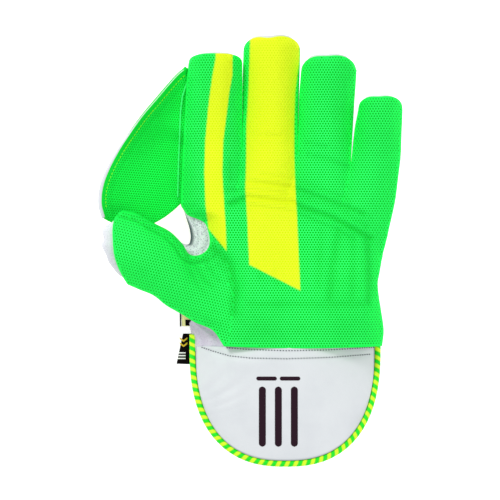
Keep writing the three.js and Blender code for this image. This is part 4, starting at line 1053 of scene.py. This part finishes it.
# Web points: straight lines from the outer edge to the finger's side, which sag in their
# middle as 4a(1 - a), more towards the foot
def webSheet(rowsPerStep, columnsPerStep, lower=0.0):
    count = len(webSide) - 1
    places = np.linspace(0, count, count * rowsPerStep + 1)
    share = (places / count)[:, None]
    edge = through(web["outer"], places)
    side = through(webSide, places)
    outerZ = lerp(webTop[2], palmHeight - 0.6 * hand["sideDrop"], smooth(0, 0.9, share))
    outer = np.concatenate([webFoot[0] - edge[:, :1] * web["width"],
                            webTop[1] - edge[:, 1:] * webHeight, outerZ], 1)
    inner = side + np.array([web["tuck"], 0, -web["tuckDepth"]])
    across = np.linspace(0, 1, 7 * columnsPerStep + 1)
    points = outer[:, None] + (inner - outer)[:, None] * across[None, :, None]
    hang = 4 * across * (1 - across)
    points[..., 2] -= web["sag"] * hang * smooth(0, 0.5, share) + lower
    points[..., 1] -= 0.13 * webHeight * hang * share ** 3
    return points


webFine = webSheet(web["rowsPerStep"], web["columnsPerStep"])
webEdge = webFine[:, 0]
fromEdge = distanceTo(webFine, webEdge[:, :2])
foldShare = smooth(0.06, 0.2, np.linspace(0, 1, len(webFine)))[:, None]
webFine[..., 2] -= web["foldDepth"] * foldShare * bell(fromEdge, web["foldIn"], 0.9)
webFine[..., 2] -= web["stitchDent"] * bell(fromEdge, web["stitchIn"], 0.7)
webPoints = webFine.reshape(-1, 3)
webQuads = gridQuads(*webFine.shape[:2])[:, ::-1]
webNormal = pointNormals(webPoints, webQuads)
points, faces = thicken(webPoints, webQuads, web["thickness"], webNormal)
# on the scale from painted shade to painted highlight the web's bare sheet sits darker than the palm's, and
# the lining slightly darker than plain
makeMesh("web_rubber", points, faces, rubber, replaces=["web_panel"],
         attributes={"band": np.zeros(len(points)), "shadeToHighlight": np.full(len(points), web["shadeToHighlight"])})
points, faces = thickenGrid(webSheet(4, 4, web["thickness"] + 0.3)[:, 4:], web["backing"])
makeMesh("web_lining", points, faces, rubber, replaces=["web_backing"],
         attributes={"band": np.ones(len(points)), "shadeToHighlight": np.full(len(points), web["backingShadeToHighlight"])})
webPlan = latticeOver((-150, 70), (-70, 190), nubs["webSteps"])
seated = seatNubs(webPlan, (webPoints, webQuads, webNormal, np.zeros(len(webPoints))), web["nubEdge"])
kept = distanceTo(seated[0], webEdge[:, :2]) > web["nubMargin"]
# the web's nubs get a weaker painted highlight than the palm's
nubPiece("web_nubs", [part[kept] for part in seated], nubs["webSteps"][0],
         web["nubSize"], web["nubPaintedLightScale"], plain=True)

edgeSteps = evenSteps(webEdge, 0.8)
edgeNormal = unit(np.stack([-np.gradient(edgeSteps[:, 1]), np.gradient(edgeSteps[:, 0])], -1))
edgeNormal *= np.sign(edgeNormal @ np.array([-1.0, 0.2]))[:, None]
edgeShare = np.linspace(0, 1, len(edgeSteps))
bindingRadius = lerp(0.5, web["binding"] / 2 + 0.2, smooth(0.3, 0.9, edgeShare))
path = edgeSteps.copy()
path[:, :2] += edgeNormal * (bindingRadius * 0.8)[:, None]
path[:, 2] -= web["thickness"] * 0.4
points, faces = cordMesh(path, 1.0, 14, bindingRadius[:, None])
makeMesh("web_edge_binding", points, faces, backLeather, replaces=["web_binding"])


stitchProfile = [(0, -1), (0.72, -0.7), (1, 0), (0.72, 0.7), (0, 1)]    # shares of radius and half length


# Stitches: short rounded bars laid along a line, half sunk in their seat
def stitchRow(name, line, sizes, material, lift=0.15):
    pitch, length, radius = sizes
    marks = evenSteps(line, pitch)
    tangent, side, over = frameAlong(marks)
    profile = [(share * radius, place * length / 2) for share, place in stitchProfile]
    points, faces = spunCopies(marks + over * lift, tangent, profile, 6, first=side)
    makeMesh(name, points, faces, material)


# Heights over a sheet: each plan point takes the height of the nearest sheet point
def drape(line, points, lift=0.0):
    number, _ = nearest(line[:, :2], points)
    return np.concatenate([line[:, :2], points[number, 2:] + lift], axis=1)


stitchLine = edgeSteps.copy()
stitchLine[:, :2] -= edgeNormal * web["stitchIn"]
stitchLine = drape(stitchLine[4:-6], webPoints)
stitchRow("web_stitches", stitchLine, web["stitch"], limeThread)
seamPixels = [(188, 78), (182, 95), (180, 110), (179, 135), (178, 157), (177, 197)]


# Points read off in pixels, in the palm's own millimetres
def fromPicture(points):
    points = np.asarray(points, float)
    return np.stack([(points[:, 0] - 303) / 1.5, (346 - points[:, 1]) / 1.5], -1)


seamPath = drape(evenSteps(fromPicture(seamPixels), 0.8), webPoints, 0.5)
points, faces = cordMesh(seamPath, web["seamRadius"], 8)
# a pale rubber cord along the seam: a painted highlight line
makeMesh("web_seam_cord", points, faces, rubber,
         attributes={"band": np.zeros(len(points)), "shadeToHighlight": np.full(len(points), 1.0)})
print("web made")

# Gussets: folded sheets between two edges, given as shares of the palm's width and length,
# with each end's height as a share of the rise from the foot to the top
gussets = {
    "crotch_suede": {
        "node": "crotch_gusset", "folds": 5, "foldShare": 0.035, "thickness": 1.6, "shade": 1.0,
        # inner x, y, height; outer x, y, height; how much it folds
        "rows": [
            (-0.53, 0.665, 0.61, -0.578, 0.7, 0.22, 0), (-0.49, 0.645, 0.78, -0.561, 0.646, 0.06, 0.8),
            (-0.455, 0.61, 0.94, -0.548, 0.6, 0, 1), (-0.43, 0.545, 1, -0.543, 0.56, 0, 1),
            (-0.45, 0.48, 0.94, -0.548, 0.528, 0, 1), (-0.5, 0.45, 0.78, -0.563, 0.52, 0.06, 0.6),
            (-0.545, 0.46, 0.67, -0.587, 0.53, 0.22, 0)],
    },
    "wrist_leather": {
        "node": "wrist_gusset", "folds": 5, "foldShare": 0.06, "thickness": hand["leather"], "shade": 0.0,
        "rows": [
            (-0.36, -0.008, 0.93, -0.525, -0.03, 0.13, 0.3), (-0.375, 0.045, 1, -0.53, 0.006, 0.07, 1),
            (-0.41, 0.085, 1, -0.532, 0.035, 0.03, 1), (-0.45, 0.11, 1, -0.54, 0.06, 0, 1),
            (-0.49, 0.13, 0.93, -0.546, 0.085, 0, 1), (-0.52, 0.16, 0.8, -0.55, 0.115, 0, 0)],
    },
}


# A folded sheet: its height falls with share^1.3 from the inner to the outer edge, with waves as
# sin(folds * pi * share) on the fall, which fade out before the outer edge
def gussetPiece(name, footZ, topZ, material):
    gusset = gussets[name]
    rows, foldShare = gusset["rows"], gusset["foldShare"]
    fine = through(np.array(rows, float), np.linspace(0, len(rows) - 1, (len(rows) - 1) * 10 + 1))
    inX, inY, inZ, outX, outY, outZ, folded = (fine[:, k:k + 1] for k in range(7))
    share = np.linspace(0, 1, 49)
    fall = lerp(inZ, outZ, share ** 1.3)
    drift = 0.6 * np.sin(4 * np.arange(len(fine)) / len(fine))[:, None]
    fold = foldShare * np.sin(gusset["folds"] * np.pi * share + drift) * smooth(1, 0.8, share)
    z = lerp(footZ, topZ, fall + fold * folded)
    grid = np.stack([palmWidth * lerp(inX, outX, share), palmLength * lerp(inY, outY, share), z], -1)
    points, faces = thickenGrid(grid, gusset["thickness"])
    # painted shade in the fold valleys and, by the shade value, towards the outer edge
    paintedGussetShade = folded * (0.3 * np.clip(-fold / foldShare, 0, 1) ** 2 + gusset["shade"] * smooth(0.72, 1, share))
    return makeMesh(name, points, faces, material, replaces=[gusset["node"]],
                    attributes={"fold": np.tile(np.clip(paintedGussetShade, 0, 1).ravel(), 2)})


crotchPiece = gussetPiece("crotch_suede", palmHeight - 1.5 * hand["sideDrop"],
                          palmHeight - 0.85 * hand["sideDrop"], suede)

# Cuffs: padded flaps shaped as half a superellipse, that hang from the wrist seam
cuff = {
    "width": 129, "length": 80, "thickness": 7, "arch": 19, "flare": 6, "setback": 4, "piping": 4,
    "roundness": 2.49, "centre": -0.086 * palmWidth, "puff": 1.6, "columns": 141, "rows": 61,
    "stitch": (1.93, 0.9, 0.42),                 # pitch, length, radius
}


# The rim's reach down at a share across: (1 - |share|^q)^(1/q)
def cuffRimReach(share):
    return np.maximum(0, 1 - np.abs(share) ** cuff["roundness"]) ** (1 / cuff["roundness"])


# How far each face draws in towards the rim, as edge^6
def cuffEdge(edge):
    return cuff["thickness"] * 0.22 * edge ** 6


# The palm flap: an arch of |share|^2.2 that flattens as it reaches out, and flares upwards
def palmCuffTop(share, reach, edge):
    arch = cuff["arch"] * np.abs(share) ** 2.2 * (1 - 0.45 * reach)
    return palmHeight - hand["wristDrop"] + cuff["flare"] * reach - arch - cuffEdge(edge)


# Its underside, nearer at the rim
def palmCuffBottom(share, reach, edge):
    return palmCuffTop(share, reach, edge) - cuff["thickness"] + 2 * cuffEdge(edge)


# The back flap: flat in the middle, its sides turned up as (|share| - 0.35)^1.6
def backCuffBottom(share, reach, edge):
    arch = 0.86 * cuff["arch"] * np.maximum(0, np.abs(share) - 0.35) ** 1.6 * (1 - 0.85 * reach ** 0.6)
    return 1.5 * arch + 0.3 * cuffEdge(edge) * ((np.abs(share) > 0.35) | (reach > 0.6))


# Its upper side, nearer at the rim
def backCuffTop(share, reach, edge):
    return backCuffBottom(share, reach, 0) + cuff["thickness"] - 1.3 * cuffEdge(edge)


seamRows = {
    "first": fromPicture([(225, 347.5), (250, 349.2), (286, 350.2), (330, 349.6), (375, 347.5)]),
    "second": fromPicture([(200, 347.2), (212, 351), (229, 355.6), (250, 357.6), (286, 358.2),
                           (330, 357), (371, 354.5)]),
}


# Relief of the palm flap: dents along the stitch rows, a slow swell, and soft ripples that
# fan from the stitching near the thumb's side
def cuffRelief(x, y):
    plan = np.stack([x, y], -1)
    dents = 0.3 * bell(distanceTo(plan, seamRows["first"]), 0, 1.2)
    dents += 0.3 * bell(distanceTo(plan, seamRows["second"]), 0, 1.6)
    ripple = 0.55 * np.sin(0.42 * (x + 50) - 0.3 * (y + 20) + 0.02 * (y + 20) ** 2)
    ripple *= bell(x, -56, 15) * bell(y, -21, 17)
    return ripple - dents


# Half width and length of a flap inside its piping
def cuffSpan(inset):
    lost = cuff["piping"] + hand["gap"] + inset
    return cuff["width"] / 2 - lost, cuff["length"] - lost


# Height added to the palm flap: a swell of 1 - edge^4 below the seam, and the relief
def cuffSwell(x, y, reach, edge):
    return cuff["puff"] * (1 - edge ** 4) * smooth(0, 0.15, reach) + cuffRelief(x, y)


# Height of the palm flap at places in plan
def cuffSurface(x, y):
    halfWidth, length = cuffSpan(0)
    share, reach = (x - cuff["centre"]) / halfWidth, (-y - hand["gap"]) / length
    edge = np.clip(np.maximum(np.abs(share), reach / np.maximum(cuffRimReach(share), 0.05)), 0, 1)
    return palmCuffTop(share, reach, edge) + cuffSwell(x, y, reach, edge)


# A flap: columns at sines of even angles across, rows down to the rim, closer there
def cuffPiece(name, node, inset, topAt, bottomAt, relief, material):
    angles = np.linspace(-0.5, 0.5, cuff["columns"]) * np.pi * 0.985
    down = 1 - (1 - np.linspace(0, 1, cuff["rows"])) ** 1.35
    share, down = np.meshgrid(np.sin(angles), down)
    reach = down * cuffRimReach(share)
    edge = np.maximum(np.abs(share), down)
    halfWidth, length = cuffSpan(inset)
    x, y = cuff["centre"] + halfWidth * share, -hand["gap"] - length * reach
    top = topAt(share, reach, edge) + relief * cuffSwell(x, y, reach, edge)
    bottom = np.minimum(bottomAt(share, reach, edge), top - 1.2)
    upper, lower = (np.stack([x, y, z], -1).reshape(-1, 3) for z in (top, bottom))
    points, faces = closeSheets(upper, lower, gridQuads(*x.shape)[:, ::-1])
    # a painted shadow line along the rim, beside the piping
    rimShade = 0.5 * smooth(0.975, 1, edge)
    piece = makeMesh(name, points, faces, material, replaces=[node],
                     attributes={"fold": np.tile(rimShade.ravel(), 2)})


cuffPiece("palm_cuff_leather", "palm_cuff", 0, palmCuffTop, palmCuffBottom, 1, leather)
cuffPiece("back_cuff_leather", "back_cuff", cuff["setback"], backCuffTop, backCuffBottom, 0, backLeather)
for key in ("first", "second"):
    line = evenSteps(seamRows[key], 0.5)
    height = cuffSurface(line[:, 0], np.minimum(line[:, 1], -0.4)) + 0.25
    stitchLine = np.concatenate([line, height[:, None]], 1)
    stitchRow("cuff_stitches_" + key, stitchLine, cuff["stitch"], thread)


piping = {"step": 0.36, "sides": 24, "pitch": 5.7, "groove": 0.1, "swell": 0.2, "clear": 0.05}


# Piping: a cord round each flap's rim, whose strands wind so that a colour returns each pitch
def pipingPiece(name, node, inset, topAt, bottomAt, leftRise=0.0):
    angles = np.linspace(-0.5, 0.5, 721) * np.pi
    share = np.sin(angles)
    reach = cuffRimReach(share)
    halfWidth, length = cuffSpan(inset)
    z = (topAt(share, reach, np.ones_like(share)) + bottomAt(share, reach, np.ones_like(share))) / 2
    line = np.stack([cuff["centre"] + halfWidth * share, -hand["gap"] - length * reach, z], -1)
    tangent = unit(np.gradient(line[:, :2], axis=0))
    line[:, :2] += np.stack([tangent[:, 1], -tangent[:, 0]], -1) * (cuff["piping"] / 2 + piping["clear"])
    line = np.concatenate([line[:1] + [0, leftRise, 0], line])
    path, sides = evenSteps(line, piping["step"]), piping["sides"]
    turns = np.arange(len(path))[:, None] * piping["step"] / piping["pitch"]
    phase = 2 * np.pi * (np.arange(sides) / sides - turns)
    # the grooves between strands are sunk a little and carry painted shade
    groove = bell(np.abs(np.cos(phase)), 0, 0.22)
    radius = cuff["piping"] / 2 + piping["swell"]
    points, faces = cordMesh(path, radius, sides, 1 - piping["groove"] * groove)
    strand = smooth(-0.16, 0.16, np.cos(phase))
    shades = {key: np.append(values.ravel(), [0.5, 0.5])
              for key, values in (("strand", strand), ("groove", groove))}
    makeMesh(name, points, faces, cordStripes, replaces=[node], attributes=shades)


pipingPiece("palm_piping", "palm_cuff_piping", 0, palmCuffTop, palmCuffBottom, 8.0)
pipingPiece("back_piping", "back_cuff_piping", cuff["setback"], backCuffTop, backCuffBottom)

trimTop = backCuffTop(1.0, 0.0, 1.0) + hand["gap"] + 1.2
wristFoot = trimTop + hand["gap"] + 2 * hand["leather"]
wristTop = palmHeight - thumb["crown"] - 0.5 * hand["gap"]
wristPiece = gussetPiece("wrist_leather", wristFoot, wristTop, wristLeather)
print("cuffs and gussets made")

# Wicket motif printed on the flap, three stumps and two bails: places in the picture's pixels,
# widths in millimetres
wicket = {
    "stumps": [262, 278, 294], "top": 386, "foot": 446, "width": 4.6,
    "bails": 378, "bailEnds": [(256, 276.5), (279.5, 300)], "bailWidth": 2.6, "lift": 0.14, "thickness": 0.3,
}


# A flat strip with rounded ends, laid over the palm flap: straight sides, and half a circle
# of the strip's own width at either end
def printedStrip(name, start, end, width, material):
    start, end = np.array(start, float), np.array(end, float)
    length = np.linalg.norm(end - start)
    along = (end - start) / length
    side = np.array([along[1], -along[0]])
    places = np.linspace(0, 1, 61)
    fromEnd = np.minimum(places, 1 - places) * length
    half = width / 2 * np.sqrt(np.clip(1 - np.clip(1 - fromEnd / (width / 2), 0, 1) ** 2, 0.02, 1))
    across = np.linspace(-1, 1, 7)
    plan = start + (places[:, None, None] * length) * along + (half[:, None] * across)[..., None] * side
    z = cuffSurface(plan[..., 0], plan[..., 1]) + wicket["lift"]
    grid = np.concatenate([plan, z[..., None]], -1)
    points, faces = thickenGrid(grid, wicket["thickness"])
    makeMesh(name, points, faces, material)


for number, stumpX in enumerate(wicket["stumps"]):
    top, foot = fromPicture([(stumpX, wicket["top"]), (stumpX, wicket["foot"])])
    printedStrip(f"printed_stump_{number}", top, foot, wicket["width"], ink)
for number, (x0, x1) in enumerate(wicket["bailEnds"]):
    start, end = fromPicture([(x0, wicket["bails"]), (x1, wicket["bails"])])
    printedStrip(f"printed_bail_{number}", start, end, wicket["bailWidth"], ink)


# Trim: a flat loop between two edges, puffed a little, with a rounded outer fold
def trimPiece(name, node, innerEdge, outerEdge, z, thickness, material, puff=0.25):
    innerEdge, outerEdge = np.array(innerEdge, float), np.array(outerEdge, float)
    across = np.linspace(0, 1, 25)
    along = np.linspace(0, 1, 31)[:, None, None]
    left = lerp(innerEdge[0], innerEdge[1], along)
    right = lerp(outerEdge[0], outerEdge[1], along)
    plan = left + (right - left) * across[None, :, None]
    rounded = np.sqrt(np.clip(1 - smooth(0.9, 1, across) ** 2, 0.03, 1))
    body = thickness / 2 * rounded + puff * np.sin(np.pi * across) * 0.5 + 0 * along[..., 0]
    upper, lower = (np.concatenate([plan, (z - thickness / 2 + half)[..., None]], -1).reshape(-1, 3)
                    for half in (body, -body))
    points, faces = closeSheets(upper, lower, gridQuads(*plan.shape[:2]))
    makeMesh(name, points, faces, material, replaces=[node] if node else [])


cuffSide = cuff["centre"] - cuff["width"] / 2
trimPiece("black_label", "side_label", [(cuffSide + 10, 8), (cuffSide + 10, -13)],
          [(-80.8, 8), (-85.2, -12.4)], trimTop, 1.2, black)
trimPiece("pale_tab", "pull_tab", [(cuffSide + 3.6, 21), (cuffSide + 3.6, 12.9)], [(-82, 22), (-81.6, 12.9)],
          trimTop, 1.2, pale)
trimPiece("tab_black_line", None, [(-82.1, 22), (-81.9, 12.8)], [(-83.1, 22), (-82.9, 12.8)],
          trimTop + 0.1, 1.2, black)
trimPiece("tab_dark_block", None, [(-73.6, 17.2), (-73.6, 13.2)], [(-79.3, 17.4), (-79.2, 13.4)],
          trimTop + 0.35, 0.8, black, 0.1)
label = {
    "lift": 0.42, "thickness": 0.4,
    "bars": [(-4.6, -5.4), (-6.5, -7.3), (-8.4, -9.2)], "chevrons": [(5.6, 3.6), (2.2, 0.2)],
}
for number, (y0, y1) in enumerate(label["bars"]):
    x0 = -83.7 + 0.12 * y0
    trimPiece(f"label_bar_{number}", None, [(-79.0, y0), (-79.0, y1)], [(x0, y0), (x0, y1)],
              trimTop + label["lift"], label["thickness"], whiteInk, 0.0)
for number, (y0, y1) in enumerate(label["chevrons"]):
    for half, x0 in (("left", -83.0), ("right", -77.8)):
        trimPiece(f"label_chevron_{number}_{half}", None, [(-80.4, y1), (-80.4, y1 - 1.3)],
                  [(x0, y0), (x0, y0 - 1.3)], trimTop + label["lift"], label["thickness"], gold,
                  0.0)
print("trim made")

# Floor, lights and camera: the floor is a light table, for a pure white ground
studio = {
    "floorShade": 0.93, "floorGlow": 0.5, "floorSize": 900.0, "floorDrop": 0.4, "floorThickness": 6,
    "worldStrength": 0.64, "lens": 270, "height": 2.55,
    # place in metres, size, power
    "lamps": {"key": ((-0.9, 1.0, 1.1), 0.5, 14), "fill": ((0.9, -0.6, 1.3), 1.0, 9.5)},
}
floorMaterial = plainMaterial("white_floor", (*[studio["floorShade"]] * 3, 1), 0.9)
floorShader = floorMaterial.node_tree.nodes["Principled BSDF"]
floorShader.inputs["Emission Color"].default_value = (1, 1, 1, 1)
floorShader.inputs["Emission Strength"].default_value = studio["floorGlow"]
floorPlan = studio["floorSize"] * np.array([[(-1, -1), (1, -1)], [(-1, 1), (1, 1)]])
floorTop = np.concatenate([floorPlan, np.full((2, 2, 1), -studio["floorDrop"])], -1)
points, faces = thickenGrid(floorTop, studio["floorThickness"])
floor = makeMesh("floor", points, faces, floorMaterial, smoothShade=False)

scene = bpy.context.scene
world = bpy.data.worlds.new("studio")
scene.world = world
world.use_nodes = True
background = world.node_tree.nodes["Background"]
background.inputs["Color"].default_value = (1, 1, 1, 1)
background.inputs["Strength"].default_value = studio["worldStrength"]


# A round lamp at a place, turned to the glove
def areaLight(name, place, size, power):
    light = bpy.data.lights.new(name, "AREA")
    light.shape = "DISK"
    light.size = size
    light.energy = power
    thing = bpy.data.objects.new(name, light)
    thing.location = place
    thing.rotation_euler = (-Vector(place)).to_track_quat("-Z", "Y").to_euler()
    scene.collection.objects.link(thing)


for name, lamp in studio["lamps"].items():
    areaLight(name, *lamp)

cameraData = bpy.data.cameras.new("camera")
cameraData.sensor_width, cameraData.lens = 36, studio["lens"]
camera = bpy.data.objects.new("camera", cameraData)
camera.location = (0, 0, studio["height"])
scene.collection.objects.link(camera)
scene.camera = camera
scene.view_settings.view_transform = "Standard"
scene.view_settings.look = "None"
